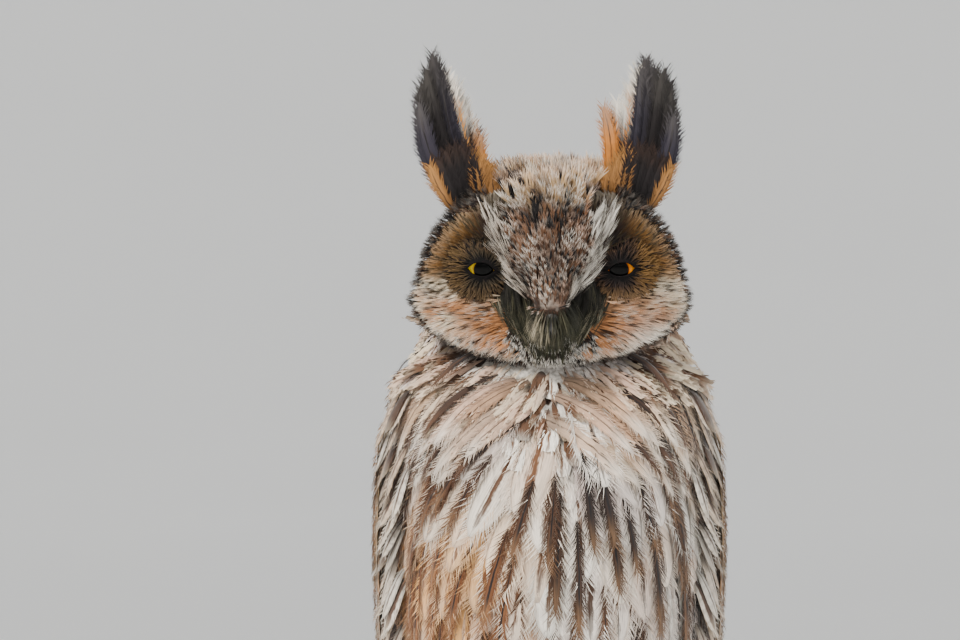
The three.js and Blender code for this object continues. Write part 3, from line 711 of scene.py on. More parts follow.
def hair_model(name, blades, seed, splay=0.35, wide=0.22, bend=0.12):
    """A few narrow blades from one root, as the loose feathers of the face have."""
    rng = np.random.default_rng(seed)
    points, faces, vane = [], [], []
    for k in range(blades):
        lean = splay * ((k + 0.5) / blades - 0.5) * 2 + rng.uniform(-0.08, 0.08)
        long = rng.uniform(0.72, 1.0)
        drop = rng.uniform(-0.06, 0.12)
        w = wide * rng.uniform(0.7, 1.15)
        base = len(points)
        for v, share in ((0, 0.7), (0.38, 1.0), (0.75, 0.7)):
            cx, cz = math.sin(lean * v * 1.3) * v * long, 0.08 * v - bend * v * v + drop * v
            for u in (-1, 1):
                points.append((cx + u * w * share / 2, v * long, cz))
                vane.append((lean * 2 + u * 0.2, v, 0))
        points.append((math.sin(lean * 1.3) * long, long, 0.08 - bend + drop))
        vane.append((lean * 2, 1, 0))
        faces += [(base + a, base + a + 1, base + a + 3, base + a + 2) for a in (0, 2)]
        faces.append((base + 4, base + 5, base + 6))
    return small_mesh(name, points, faces, vane)


def small_mesh(name, points, faces, vane):
    mesh = bpy.data.meshes.new(name)
    mesh.from_pydata([tuple(map(float, p)) for p in points], [], faces)
    mesh.polygons.foreach_set("use_smooth", [True] * len(faces))
    stored = mesh.attributes.new("vane", "FLOAT_VECTOR", "POINT")
    stored.data.foreach_set("vector", np.asarray(vane, float).ravel())
    return bpy.data.objects.new(name, mesh)


BROAD = [[0, 0.28], [0.15, 0.5], [0.35, 0.86], [0.55, 1.0], [0.75, 0.95], [0.9, 0.72], [1, 0.3]]
NARROW = [[0, 0.4], [0.25, 0.8], [0.5, 1.0], [0.75, 0.8], [0.9, 0.45], [1, 0.12]]
FIVE, THREE = (-1, -0.5, 0, 0.5, 1), (-1, 0, 1)


def set_of(name, makers):
    """A collection that coats pick their feathers from. It leaves the scene at the end."""
    made = bpy.data.collections.new(name)
    bpy.context.scene.collection.children.link(made)
    for thing in makers:
        made.objects.link(thing)
    return made


broad_feathers = set_of("broad_feathers", [
    feather_model(f"broad_{k}", BROAD, 5, FIVE, 16, 10 + k, curl=0.10 + 0.03 * k) for k in range(3)
])
small_feathers = set_of("small_feathers", [
    feather_model(f"small_{k}", NARROW, 3, THREE, 8, 20 + k, reach=0.3, thin=0.05, curl=0.12)
    for k in range(3)
])
strand_feathers = set_of("strand_feathers", [
    feather_model(
        f"strand_{k}", NARROW, 5, THREE, 8, 30 + k, reach=0.16, thin=0.1, curl=0.16, arch=0.2
    )
    for k in range(3)
])
hairs = set_of("hairs", [
    hair_model(f"hair_{k}", 7, 40 + k, splay=0.42, wide=0.13) for k in range(3)
])
fine_hairs = set_of("fine_hairs", [
    hair_model(f"fine_{k}", 4, 50 + k, splay=0.2, wide=0.2) for k in range(3)
])
FEATHER_SETS = (broad_feathers, small_feathers, strand_feathers, hairs, fine_hairs)
for made in FEATHER_SETS:
    faces = [sum(len(p.vertices) - 2 for p in thing.data.polygons) for thing in made.objects]
    print(f"{made.name}: {faces} triangles each")

# %% [markdown]
# ## A coat by Geometry Nodes
# Hair particles or hair curves would be the usual way to grow a coat, but they aren't mesh and
# don't travel to other programs. This tree scatters points on the skin with at least a set
# space between them, turns a feather at each point to lie the way the skin says, sizes it,
# and makes it all real mesh. It also gives every feather a small square of the OFBake map at
# the place of its root, so that colours can be baked later.

# %% The coat's tree
PATCH = 0.003  # width of a feather's square on the OFBake map
ROOTS_A_CELL = 1.4  # how many roots are tried for each square of the spacing


def geometry_tree(name, inputs, output):
    """A new tree with its inputs, each (name, kind of socket, value), and one output."""
    tree = bpy.data.node_groups.new(name, "GeometryNodeTree")
    for key, kind, value in inputs:
        made = tree.interface.new_socket(name=key, in_out="INPUT", socket_type="NodeSocket" + kind)
        if value is not None:
            made.default_value = value
    tree.interface.new_socket(name=output, in_out="OUTPUT", socket_type="NodeSocketGeometry")
    return tree, add(tree, "NodeGroupInput").outputs


def stored(tree, name, kind="FLOAT_VECTOR"):
    return add(tree, "GeometryNodeInputNamedAttribute", {"Name": name}, data_type=kind).outputs[0]


def store(tree, geometry, name, value, kind="FLOAT_VECTOR", domain="POINT"):
    inputs = {"Geometry": geometry, "Name": name, "Value": value}
    made = add(tree, "GeometryNodeStoreNamedAttribute", inputs, data_type=kind, domain=domain)
    return made.outputs[0]


def chance(tree, low, high, seed, kind="FLOAT"):
    made = add(tree, "FunctionNodeRandomValue", data_type=kind)
    first = {"FLOAT_VECTOR": 0, "FLOAT": 2, "INT": 4}[kind]
    made.inputs[first].default_value = low
    made.inputs[first + 1].default_value = high
    if isinstance(seed, bpy.types.NodeSocket):
        tree.links.new(seed, made.inputs[8])
    else:
        made.inputs[8].default_value = seed
    return made.outputs[{"FLOAT_VECTOR": 0, "FLOAT": 1, "INT": 2}[kind]]


def aimed(tree, ahead, up, swing):
    """A rotation that lays a feather's length ahead and its back up, then swings it a little."""
    axes = {"Primary Axis": ahead, "Secondary Axis": up}
    options = {"primary_axis": "Y", "secondary_axis": "Z"}
    facing = add(tree, "FunctionNodeAxesToRotation", axes, **options).outputs[0]
    by = add(tree, "FunctionNodeEulerToRotation", {0: swing}).outputs[0]
    inputs = {"Rotation": facing, "Rotate By": by}
    return add(tree, "FunctionNodeRotateRotation", inputs, rotation_space="LOCAL").outputs[0]


def coat_tree():
    tree, given = geometry_tree("coat", (
        ("Skin", "Geometry", None), ("Feathers", "Collection", None), ("Spacing", "Float", 0.003),
        ("Seed", "Int", 1), ("Untidiness", "Float", 0.12), ("Material", "Material", None),
    ), "Coat")
    cell = times(tree, given["Spacing"], given["Spacing"])
    scatter = add(tree, "GeometryNodeDistributePointsOnFaces", {
        "Mesh": given["Skin"], "Distance Min": given["Spacing"],
        "Density Max": calc(tree, "DIVIDE", ROOTS_A_CELL, cell),
        "Density Factor": stored(tree, "cover", "FLOAT"), "Seed": given["Seed"],
    }, distribute_method="POISSON")
    points = store(tree, scatter.outputs["Points"], "draw", chance(tree, 0.0, 1.0, 11), "FLOAT")
    swing = chance(tree, (-1.2, -1.0, -1.4), (0.8, 1.0, 1.4), 12, "FLOAT_VECTOR")
    swing = vector_calc(tree, "SCALE", swing, given["Untidiness"])
    size = vector_calc(tree, "SCALE", stored(tree, "size"), chance(tree, 0.8, 1.16, 13))
    models = add(tree, "GeometryNodeCollectionInfo", {
        "Collection": given["Feathers"], "Separate Children": True, "Reset Children": True,
    }).outputs[0]
    planted = add(tree, "GeometryNodeInstanceOnPoints", {
        "Points": points, "Instance": models, "Pick Instance": True,
        "Instance Index": chance(tree, 0, 2, 14, "INT"),
        "Rotation": aimed(tree, stored(tree, "lie"), scatter.outputs["Normal"], swing),
        "Scale": size,
    }).outputs[0]
    real = add(tree, "GeometryNodeRealizeInstances", {"Geometry": planted}).outputs[0]
    patch = vector_calc(tree, "MULTIPLY", stored(tree, "vane"), (0.5, 1, 0))
    patch = vector_calc(tree, "SCALE", patch, PATCH)
    spot = vector_calc(tree, "ADD", stored(tree, "root_map"), patch)
    mapped = store(tree, real, "OFBake", spot, "FLOAT2", "CORNER")
    inputs = {"Geometry": mapped, "Material": given["Material"]}
    painted = add(tree, "GeometryNodeSetMaterial", inputs).outputs[0]
    add(tree, "NodeGroupOutput", {0: painted})
    return tree


COAT = coat_tree()


def set_inputs(modifier, values):
    """A modifier keeps its inputs under the sockets' identifiers, so names are looked up first."""
    for item in modifier.node_group.interface.items_tree:
        if item.item_type == "SOCKET" and item.in_out == "INPUT" and item.name in values:
            modifier[item.identifier] = values[item.name]


def write(mesh, name, values):
    values = np.asarray(values, float)
    kind = "FLOAT" if values.ndim == 1 else "FLOAT_VECTOR"
    kept = mesh.attributes.get(name) or mesh.attributes.new(name, kind, "POINT")
    kept.data.foreach_set("value" if kind == "FLOAT" else "vector", values.ravel())


KEEP = ("vane", "draw", "tone", "mark", "pattern", "dark_share", "tip_tone", "OFBake")
BUILT_IN = ("sharp_face", "material_index")


def plain_result(name, holder):
    """The evaluated mesh as an object of its own, with only the attributes that materials read."""
    made = evaluated_mesh(holder)
    made.name = name
    for known in [a.name for a in made.attributes]:
        built_in = known.startswith(".") or known in BUILT_IN or made.attributes[known].is_required
        if known not in KEEP and not built_in:
            made.attributes.remove(made.attributes[known])
    piece = plain_object(name, made)
    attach(piece, "root")
    return piece


def triangles(thing):
    sizes = np.empty(len(thing.data.polygons), int)
    thing.data.polygons.foreach_get("loop_total", sizes)
    return int((sizes - 2).sum())


coat_pieces = []


def plant(name, ground, feathers, fields, spacing, seed, finish, untidy=0.12):
    """Plants one coat on the ground and returns it as a plain mesh object."""
    for key, values in fields.items():
        write(ground.data, key, values)
    grow = ground.modifiers.new("coat", "NODES")
    grow.node_group = COAT
    set_inputs(grow, {
        "Feathers": feathers, "Spacing": spacing * MM, "Seed": seed, "Untidiness": untidy,
        "Material": finish,
    })
    ground.update_tag()
    piece = plain_result(name, ground)
    ground.modifiers.remove(grow)
    coat_pieces.append(piece)
    print(f"{name}: {triangles(piece)} triangles")
    return piece


# %% [markdown]
# ## What a feather is painted with
# Every feather carries a ground tone, a mark tone for streaks and bars, and a tip tone. The
# material mixes them by the place on the feather: a dark streak down the shaft, bars across,
# a paler tip and fine lines along the barbs. The root, grey with down, is darkened further with
# painted shade where it sinks into the layer below.
# A painted texture could do this for one view, while this works on every feather at any size.

# %% Plumage material
def plumage(name, roughness=0.78, sheen=0.25, barb_lines=0.35, bars_long=26.0, on_skin=False):
    made, tree, shader = material(name, roughness, 0.25, sheen)

    def field(key, output="Fac"):
        return add(tree, "ShaderNodeAttribute", attribute_name=key).outputs[output]

    tone, mark, tip = (field(key, "Color") for key in ("tone", "mark", "tip_tone"))
    pattern, vane = (separate(tree, field(key, "Vector")) for key in ("pattern", "vane"))
    draw = field("draw")
    spot = own_place(tree)
    if on_skin:
        streak = ramp_between(tree, grain(tree, spot, 160.0, 2.0, stretch=(1, 1, 0.35)), 0.56, 0.62)
        base = blend_colours(tree, streak, tone, mark)
        # painted shade: the skin that shows between the feathers is darkened to 35 to 70 percent of
        # its coat's tone
        shade = ramp_between(tree, grain(tree, spot, 900.0, 2.0), 0.3, 0.7, 0.35, 0.7)
        bump(tree, shader, grain(tree, spot, 700.0, 3.0), 0.5, 0.0006)
    else:
        u, v = vane[0], vane[1]
        slanted = minus(tree, times(tree, v, 3.0), times(tree, calc(tree, "ABSOLUTE", u), 2.0))
        barbs = combine(tree, times(tree, u, 7.0), slanted, times(tree, draw, 57.0))
        fine = grain(tree, barbs, 2.2, 2.0, 0.5)
        frayed = minus(tree, fine, 0.5)
        wobble = minus(tree, grain(tree, spot, 420.0, 2.0), 0.5)
        # a streak down the shaft, as wide as the pattern says
        off_shaft = calc(tree, "ABSOLUTE", plus(tree, u, times(tree, wobble, 0.4)))
        off_shaft = plus(tree, off_shaft, times(tree, frayed, 0.5))
        edge = times(tree, pattern[0], ramp_between(tree, v, 0.86, 1.0, 1.0, 0.3))
        streak = ramp_between(tree, minus(tree, off_shaft, edge), -0.12, 0.12, 1.0, 0.0)
        streak = times(tree, streak, ramp_between(tree, pattern[0], 0.01, 0.05))
        # bars across, started at another place on each feather
        wave = plus(tree, times(tree, v, bars_long), times(tree, wobble, 5.0))
        wave = calc(tree, "SINE", plus(tree, wave, times(tree, draw, 40.0)))
        wave = plus(tree, wave, times(tree, frayed, 1.2))
        bars = times(tree, ramp_between(tree, wave, 0.15, 0.85), pattern[1])
        # some feathers are dark all over
        whole = ramp_between(tree, minus(tree, field("dark_share"), draw), -0.02, 0.02)
        marked = calc(tree, "MAXIMUM", calc(tree, "MAXIMUM", streak, bars), whole)
        tip_line = plus(tree, v, times(tree, frayed, 0.4))
        light_tip = times(tree, ramp_between(tree, tip_line, 0.62, 0.95), pattern[2])
        base = blend_colours(tree, light_tip, blend_colours(tree, marked, tone, mark), tip)
        shade = ramp_between(tree, fine, 0.25, 0.75, 1 - barb_lines, 1 + barb_lines * 0.4)
        # painted shade: the root half darkens to 0.4, partly the grey down, mostly the shadow of
        # the feathers over it
        shade = times(tree, shade, ramp_between(tree, v, 0.0, 0.5, 0.4, 1.0))
        shade = times(tree, shade, ramp_between(tree, draw, 0.0, 1.0, 0.84, 1.14))
    final = blend_colours(tree, 1.0, base, combine(tree, shade, shade, shade), "MULTIPLY")
    paint(tree, shader, final)
    return made


soft_plumage = plumage("soft_plumage", barb_lines=0.22)
face_hair = plumage("face_hair", 0.8, 0.06, 0.25)
firm_plumage = plumage("firm_plumage", 0.6, 0.15, 0.3, bars_long=40.0)
fine_barred = plumage("fine_barred", bars_long=34.0)
under_plumage = plumage("under_plumage", 0.9, 0.1, on_skin=True)

# %% [markdown]
# ## The palette
# An owl's browns are one pigment in thick or thin layers with a red-brown one beside it, so
# the tones here form one family from black-brown through cinnamon to buff and white.

# %% Tones
WHITE, CREAM, BUFF = colour("f2ece0"), colour("e6d6bb"), colour("d2b083")
TAN, TAWNY, OCHRE = colour("b98d63"), colour("b0672c"), colour("cf9240")
BROWN, UMBER, SOOT = colour("6b4a33"), colour("3b281d"), colour("171213")
GREY, OLIVE, PINKISH = colour("9b958c"), colour("26271c"), colour("c9a893")
# PLUM_SHEEN_BLACK is near black with a purple tint that is a painted sheen
CINNAMON, LILAC, PLUM_SHEEN_BLACK = colour("b8733f"), colour("cbb9b2"), colour("1c1720")
MOSS, GOLD, DUSK = colour("5d5a40"), colour("a9752f"), colour("453a26")


def fields(
    cover, lie, length, width, tone, mark, tip, streak=0.0, bars=0.0, light_tip=0.0, dark=0.0
):
    """Everything that the coat's tree and the plumage material read, at each point of a ground."""
    n = len(cover)
    length, width = np.broadcast_to(length, (n,)), np.broadcast_to(width, (n,))
    marks = [np.broadcast_to(value, (n,)) for value in (streak, bars, light_tip)]
    return {
        "cover": clamp(cover) * 1.0,
        "lie": lie,
        "size": np.stack([width, length, length], -1) * MM,
        "tone": clamp(np.broadcast_to(tone, (n, 3))),
        "mark": clamp(np.broadcast_to(mark, (n, 3))),
        "tip_tone": clamp(np.broadcast_to(tip, (n, 3))),
        "pattern": np.stack(marks, -1),
        "dark_share": np.broadcast_to(dark, (n,)) * 1.0,
    }


def map_roots(ground):
    """Copies the ground's own map, so that each feather can find the place of its root."""
    flat = np.empty(len(ground.data.loops) * 2)
    ground.data.uv_layers["OFBake"].data.foreach_get("uv", flat)
    ground.data.attributes.new("root_map", "FLOAT2", "CORNER").data.foreach_set("vector", flat)


map_roots(skin)

# %% [markdown]
# ## Under layer of the body
# Short soft feathers go on first, over breast, belly and back. The large breast feathers and
# the folded wings lie over them later and leave only their edges in sight. Under the wings
# nothing shows, so nothing is planted there.

# %% Breast under layer
breast = trunk & (turn < 112) & (z > 112)
outward = np.sign(x) * np.minimum(1, abs(x) / 25)
down = vectors(outward * (0.25 + 0.6 * smooth(250, 290, z)), 0.25 * smooth(70, 105, turn), -1.0)
leg_near = bell(abs(x) - LEG_SPACING / 2, 12) * (z < 176) * (y < 30)
LENGTH_AT = [[108, 11], [130, 14], [160, 15], [200, 14], [250, 13], [275, 11], [300, 8]]
long_by_height = curve_at(LENGTH_AT, z)


def warmth(x_mm, z_mm):
    """The share of ochre in the breast: strongest low on the bird's right side."""
    return smooth(10, -34, x_mm) * smooth(270, 226, z_mm) + 0.4 * smooth(180, 135, z_mm)


breast_tone = mix(WHITE, LILAC, clamp(0.5 + 0.4 * cloud(place, 40, 4)))
breast_tone = mix(breast_tone, OCHRE, 0.7 * clamp(warmth(x, z)))
breast_mark = mix(BROWN, UMBER, clamp(0.4 + 0.5 * cloud(place, 30, 5)))
plant("coat_breast", skin, broad_feathers, fields(
    breast * (1 - 0.5 * leg_near), lying(down, 11), long_by_height, long_by_height * 0.5,
    breast_tone, breast_mark, WHITE, 0.16, 0.3 * smooth(235, 170, z), 0.4, 0.12,
), 3.6, 1, soft_plumage)

# %% Back coat
WING = [  # height, the wing's front and rear edge round the body, and how far it swells
    [36, 150, 176, 0], [60, 140, 176, 0], [100, 116, 175, 0], [134, 98, 172, 0],
    [165, 84, 166, 0.8], [200, 75, 158, 1.3], [232, 72, 150, 1.6], [256, 78, 140, 1.6],
    [270, 92, 126, 1],
]
wing_edges = between(WING, z)
under_wing = (z < 262) & (turn > wing_edges[:, 0] + 8) & (turn < wing_edges[:, 1] - 4)
back = trunk & (turn >= 108) & ~under_wing & (z > 112)
back_long = np.clip(long_by_height, 9, 15)
back_tone = mix(TAN, GREY, clamp(0.5 + 0.5 * cloud(place, 20, 7)))
plant("coat_back", skin, broad_feathers, fields(
    back & (z < 292), lying((0, 0.1, -1), 10), back_long, back_long * 0.55,
    back_tone, UMBER, CREAM, 0.2, 0.6, 0.35, 0.2,
), 2.9, 2, soft_plumage, 0.22)

# %% Shawl under layer
shawl = trunk & (z > 268) & (turn < 118)
aside = np.sign(x) * (0.45 + 0.5 * smooth(4, 40, abs(x)))
around_neck = vectors(aside, 0.1, -0.9 + 0.25 * smooth(30, 48, abs(x)))
shawl_tone = mix(PINKISH, CREAM, clamp(0.4 + 0.6 * cloud(place, 16, 8)))
plant("coat_shawl", skin, strand_feathers, fields(
    shawl * smooth(266, 276, z), lying(around_neck, 14), 14 + 2 * cloud(place, 30, 9), 2.5,
    shawl_tone, BROWN, CREAM, 0.0, 0.0, 0.45, 0.3,
), 1.9, 3, soft_plumage, 0.16)

# %% [markdown]
# ## Nape, and the sides of the head
# Behind the facial discs the head is clothed in short mottled feathers that stream back from
# the bill and down the nape.

# %% Nape coat
from_bill = head_way(own - np.array([0, -38, -8]))
from_bill[:, 2] -= 60 * smooth(0, 34, hy)
nape = (skull & ((hy > 12) | (hz < 12))) | (trunk & (z >= 286) & (turn >= 100))
by_ruff = 0.8 * smooth(1.16, 1.06, rim) * smooth(14, 4, hy) * smooth(12, 2, hz)
nape_tone = mix(TAN, BUFF, clamp(0.5 + 0.6 * cloud(place, 14, 10)))
nape_tone = mix(nape_tone, SOOT, by_ruff)
nape_long = 8 + 3.6 * smooth(304, 292, z) * smooth(40, 30, abs(x))
plant("coat_nape", skin, small_feathers, fields(
    nape, lying(from_bill, 12), nape_long, 3.1, nape_tone, UMBER, CREAM, 0.2, 0.35, 0.35, 0.3,
), 1.35, 4, soft_plumage, 0.24)

# %% [markdown]
# ## Crown
# From the bill a broad tongue of marbled feathers rises between the two brows and widens into
# the crown. Each is dark at its root with a white or pinkish tip, so from afar it reads as
# frost, with a dark line down the middle. Over the brows the same mottling turns browner. The
# head is nodded, so what marks the top of the crown is height above the table: there the
# feathers are longest and stand most upright, and they make the head's rounded outline.

# %% Crown coat
off_middle = abs(hx + 0.8)  # the owl holds its head a little to one side
TONGUE = [[-10, 1], [-7, 5.4], [-4, 8.6], [0, 10.6], [6, 11.6], [22, 11.9], [28, 14.2], [36, 22]]
on_tongue = face & (hz > -8.5) & (off_middle < curve_at(TONGUE, hz))
forehead = face & (hz > 23) & ~on_tongue & (abs(hx) < 36)
crown = on_tongue | forehead | (skull & (hy <= 12) & (hz >= 12))
high, top = smooth(332, 341, z), smooth(330, 338, z)
crown_way = np.where(on_tongue[:, None], head_way(vectors(0.3 * hx / 12, 0.5, 1.0)), from_bill)
crown_size = curve_at([[-10, 3.6], [0, 5.0], [14, 6.6], [26, 7.4], [50, 8]], hz)
crown_size = crown_size + (3.4 + 2 * smooth(6, 15, abs(hx))) * high
midline = bell(hx + 0.4 + 10 * smooth(326, 343, z), 2.2) * smooth(0, 10, hz)
clump = smooth(-0.4, 0.4, cloud(own * np.array([1.0, 1.0, 0.6]), 6, 17))
rusty = 0.8 * smooth(5, 10, hx) * smooth(12, 22, hz) + 0.4 * smooth(16, 26, abs(hx))
top_tone = mix(BUFF, UMBER, (0.4 + 0.5 * smooth(10, -10, hx)) * (1 - clump))
crown_tone = mix(BROWN, UMBER, clamp(0.4 + 0.5 * cloud(place, 9, 11)))
crown_tone = mix(mix(crown_tone, TAWNY, rusty), top_tone, 0.85 * top)
crown_tip = mix(WHITE, PINKISH, clamp(0.45 + 0.7 * cloud(place, 8, 12)))
crown_light = clamp(0.2 + 0.8 * clump - 0.8 * midline + 0.25 * top)
crown_dark = (0.12 + 0.35 * (1 - clump) + 0.4 * midline) * (1 - 0.3 * top)
plant("coat_crown", skin, hairs, fields(
    crown, lying(crown_way, 24 + 28 * high), crown_size, crown_size * 0.36,
    crown_tone, SOOT, crown_tip, 0.0, 0.1, crown_light, crown_dark,
), 0.8, 5, face_hair, 0.2)

# %% [markdown]
# ## Facial discs
# The discs are dishes of loose hair-like feathers. They are near black between brow and eye,
# golden towards the upper rim, and cinnamon on the cheeks, where the hairs stream straight
# outward and end in white. Pale lashes are drawn below each eye, and one cheek has a white
# spot. Rules on the head's own sideways and upward measures set all of this, so it holds from
# any angle.

# %% Disc coat
disc = face & ~on_tongue & ~forehead & (eye_far > 7.6) & (rim < 0.965)
LORES = [[-32, 3], [-25, 7], [-19, 11.5], [-13, 15], [-6, 16.5], [0, 13], [4, 9]]
lores_half = curve_at(LORES, hz) * (1 + 0.16 * cloud(own, 3.4, 19))
lores = disc & (abs(hx) < lores_half) & (hz < 3)
above = smooth(-3.5, 2, hz)
near_eye = smooth(13, 9, eye_far)
up_ray = vectors(np.sign(hx) * (abs(hx) - 12), 0.0, hz + 3)
out_ray = vectors(np.sign(hx), 0.0, -0.1 - 0.8 * smooth(-14, -25, hz)) * 20
ray = head_way(up_ray * above[:, None] + out_ray * (1 - above[:, None]))
disc_long = np.clip(4.2 + 0.22 * (eye_far - 8), 3.8, 8.0) + 1.2 * (1 - above)
disc_long = disc_long * (1 - 0.4 * smooth(0.75, 0.95, rim))
golden = smooth(-8, -3.5, hz)
upper_tone = mix(UMBER, GOLD, 0.75 * smooth(19, 26, abs(hx)))
upper_tone = mix(upper_tone, mix(TAWNY, OCHRE, 0.5), 0.5 * smooth(27, 37, abs(hx)))
upper_tone = 0.64 * mix(upper_tone, UMBER, 0.8 * smooth(20, 28, hz))
streams = cloud(own * np.array([0.35, 1.0, 1.0]), 5, 16)
pale_cheek = clamp(0.22 + 0.35 * smooth(27, 38, abs(hx)) + 0.5 * streams)
pale_cheek = pale_cheek * smooth(16, 24, abs(hx))
cheek_tone = mix(mix(CINNAMON, TAN, 0.35), mix(CREAM, BUFF, 0.25), pale_cheek)
rim_pale = smooth(0.8, 0.9, rim)
dark_side = above * smooth(6, -2, eye_x) + 0.6 * smooth(10.5, 8.5, eye_far) * smooth(-8, -4, hz)
dark_side = clamp(dark_side)
spot_share = bell(hx - 26.5, 6) * bell(hz + 23, 5.5)
lashes = bell(hz + 6.5, 3.0) * smooth(9, 14, abs(hx)) * (1 - rim_pale)
disc_tone = mix(cheek_tone, upper_tone, golden)
disc_tone = mix(disc_tone, CREAM, 0.6 * rim_pale * (1 - 0.7 * golden))
disc_tone = mix(disc_tone, SOOT, near_eye * dark_side)
disc_tone = mix(disc_tone, WHITE, 0.95 * spot_share)
disc_tone = mix(disc_tone, CREAM, 0.95 * lashes)
disc_mark = mix(mix(UMBER, BROWN, 0.4), DUSK, clamp(lashes + golden))
disc_dark = 0.15 + 0.1 * golden + 0.3 * near_eye * dark_side + 0.3 * lashes
disc_dark = np.clip(disc_dark, 0, 0.8) * (1 - spot_share)
disc_light = (0.4 + 0.3 * streams) * (1 - golden) + (0.3 - 0.2 * golden) * rim_pale
disc_light = clamp(disc_light - 0.3 * near_eye)
disc_lift = 11 + 20 * smooth(13, 10, eye_far) + 6 * rim_pale
plant("coat_discs", skin, hairs, fields(
    disc & ~lores, lying(ray, disc_lift), disc_long, disc_long * 0.21,
    disc_tone, disc_mark, WHITE, 0.0, 0.06, disc_light, disc_dark,
), 0.65, 6, face_hair, 0.12)

# %% [markdown]
# ## Ruff
# A ring of stiff, curved feathers frames both discs, black with frosted tips. It is the
# owl's outline, so it stands a little proud of the head all round.

# %% Ruff coat
left_open = ((hz < -20) & (abs(hx) < 7)) | ((hz > 10) & (abs(hx) < 19))
ring = (abs(rim - 1.0) < 0.07) & (hy < 5) & (hz < 33) & ~left_open
radial = unit(head_way(vectors(hx, -0.1 * np.hypot(hx, hz), hz - FACE_CENTRE))) + 0.35 * normal
ruff_long = 4.2 + 1.2 * smooth(2, 20, hz) + smooth(-4, -12, hz) * (abs(hx) > 24)
ruff_tone = mix(SOOT, BROWN, clamp(0.3 + 0.4 * cloud(place, 5, 18)))
plant("coat_ruff", skin, hairs, fields(
    ring, unit(radial), ruff_long, 1.6, ruff_tone, SOOT, GREY, 0.0, 0.2, 0.35, 0.4,
), 0.6, 7, face_hair, 0.34)

# %% [markdown]
# ## Brows
# Two fans of long white filaments start under the end of the tongue, curl round it and rise
# beside it. They part over the inner corner of each eye, and give the owl its frown.

# %% Brow coat
BROW_LINE = [[-8, 5.3], [-4, 9], [1, 11.6], [8, 13.8], [16, 15.8], [26, 16.4]]
BROW_HALF = [[-9, 0.9], [-3, 1.4], [6, 1.5], [14, 2.5], [25, 3.0]]
brow_x = curve_at(BROW_LINE, hz)
brow_slope = (curve_at(BROW_LINE, hz + 1) - curve_at(BROW_LINE, hz - 1)) / 2
brow_half = curve_at(BROW_HALF, hz) * np.where(hx > 0, 1.2, 0.9)
brow = face & (hz > -8.5) & (hz < 14) & (abs(off_middle - brow_x) < brow_half)
brow_out = np.sign(hx) * (brow_slope + 0.12 + 0.1 * smooth(6, 18, hz))
brow_way = head_way(vectors(brow_out, -0.1, 1.0))
brow_tone = mix(WHITE, GREY, clamp(0.5 + 0.4 * cloud(place, 5, 14)))
# painted shade: the bird's right brow is tinted tan, darker than the left, as it lies in shade
brow_tone = mix(brow_tone, TAN, 0.25 * (hx < 0))
plant("coat_brows", skin, fine_hairs, fields(
    brow, lying(brow_way, 22), 8.6 + 1.2 * cloud(place, 9, 13), 0.95,
    brow_tone, UMBER, WHITE, 0.0, 0.0, 0.5, 0.36,
), 0.5, 8, face_hair, 0.14)

# %% [markdown]
# ## Bristles round the bill
# Long dark bristles spring from between the eye and the bill. They close over the bill from
# both sides and point to its tip, so that hardly more than the tip shows. A few are pale, and
# draw fine lines that run together like a V. Below them the chin is mottled black and white.

# %% Bristles and chin
to_tip = vectors(-hx * smooth(-30, -16, hz), -0.15, -np.maximum(6, hz + 29))
bristle_long = np.clip(11.5 + 0.26 * hz, 4.5, 11)
pale_spot = bell(hx + 3.5, 3.5) * bell(hz + 10, 3)
pale_line = bell(abs(hx) - (13.5 + 0.5 * (hz + 12)), 1.6) * smooth(-3, -8, hz)
bristle_tone = mix(colour("4a4735"), CREAM, 0.35 * pale_spot + 0.25 * pale_line)
bristle_mark = mix(OLIVE, MOSS, clamp(0.4 * cloud(place, 2.2, 15)))
bristle_mark = mix(bristle_mark, SOOT, 0.7 * smooth(-9, -3, hz))
bristle_dark = clamp(0.9 - 0.3 * pale_spot - 0.2 * pale_line)
plant("coat_bristles", skin, fine_hairs, fields(
    lores, lying(head_way(to_tip), 22 + 8 * bell(hx, 6)), bristle_long, 0.8,
    bristle_tone, bristle_mark, CREAM, 0.0, 0.0, 0.25 * pale_spot, bristle_dark,
), 0.5, 9, face_hair, 0.16)

under_bill = (rim + 0.04 * cloud(own, 7, 20) > 0.85) | (abs(hx) < 12)
chin = face & (hz < -17) & under_bill & (spot_share < 0.3)
chin_way = head_way(vectors(0.6 * hx / 12, -0.1, -1.0))
plant("coat_chin", skin, hairs, fields(
    chin, lying(chin_way, 24), 5.5, 2.4, mix(SOOT, UMBER, 0.5), SOOT, WHITE, 0.0, 0.2, 0.8, 0.4,
), 0.9, 10, face_hair, 0.2)

# %% [markdown]
# ## Legs and toes
# This owl's legs and toes are feathered to the claws in pale, nearly plain down, which lies
# flat and gets shorter towards the claw.

# %% Leg coat
off_leg = abs(x) - LEG_SPACING / 2
leg = trunk & (np.hypot(off_leg, y - 4) < 15) & (z < 160)
toe = z < PERCH_TOP + 8
angle_round = np.arctan2(y, z - PERCH_AXIS)
toe_way = vectors(0.0, np.cos(angle_round) * np.sign(y), -abs(np.sin(angle_round)))
clear_of_bark = np.hypot(y, z - PERCH_AXIS) > PERCH_RADIUS + 2.2
feather_leg = mix(CREAM, BUFF, 0.5)
leg_way = np.where(toe[:, None], toe_way, np.array([0.0, 0.0, -1.0]))
feathered = (leg | (toe & (abs(x) < 40) & (abs(y) < 26))) & clear_of_bark & (z > 95)
plant("coat_legs", skin, hairs, fields(
    feathered, lying(leg_way, np.where(toe, 6, 12)), np.where(toe, 3.2, 7.5),
    np.where(toe, 1.3, 2.8), feather_leg, TAN, WHITE, 0.0, 0.1, 0.3, 0.08,
), 1.15, 11, soft_plumage, 0.14)

# %% [markdown]
# ## The skin's own markings
# Between the feathers a little skin shows. It takes the tones of the coat that grows on it,
# so that no gap stands out, and what the coats alone needed is taken off it again.

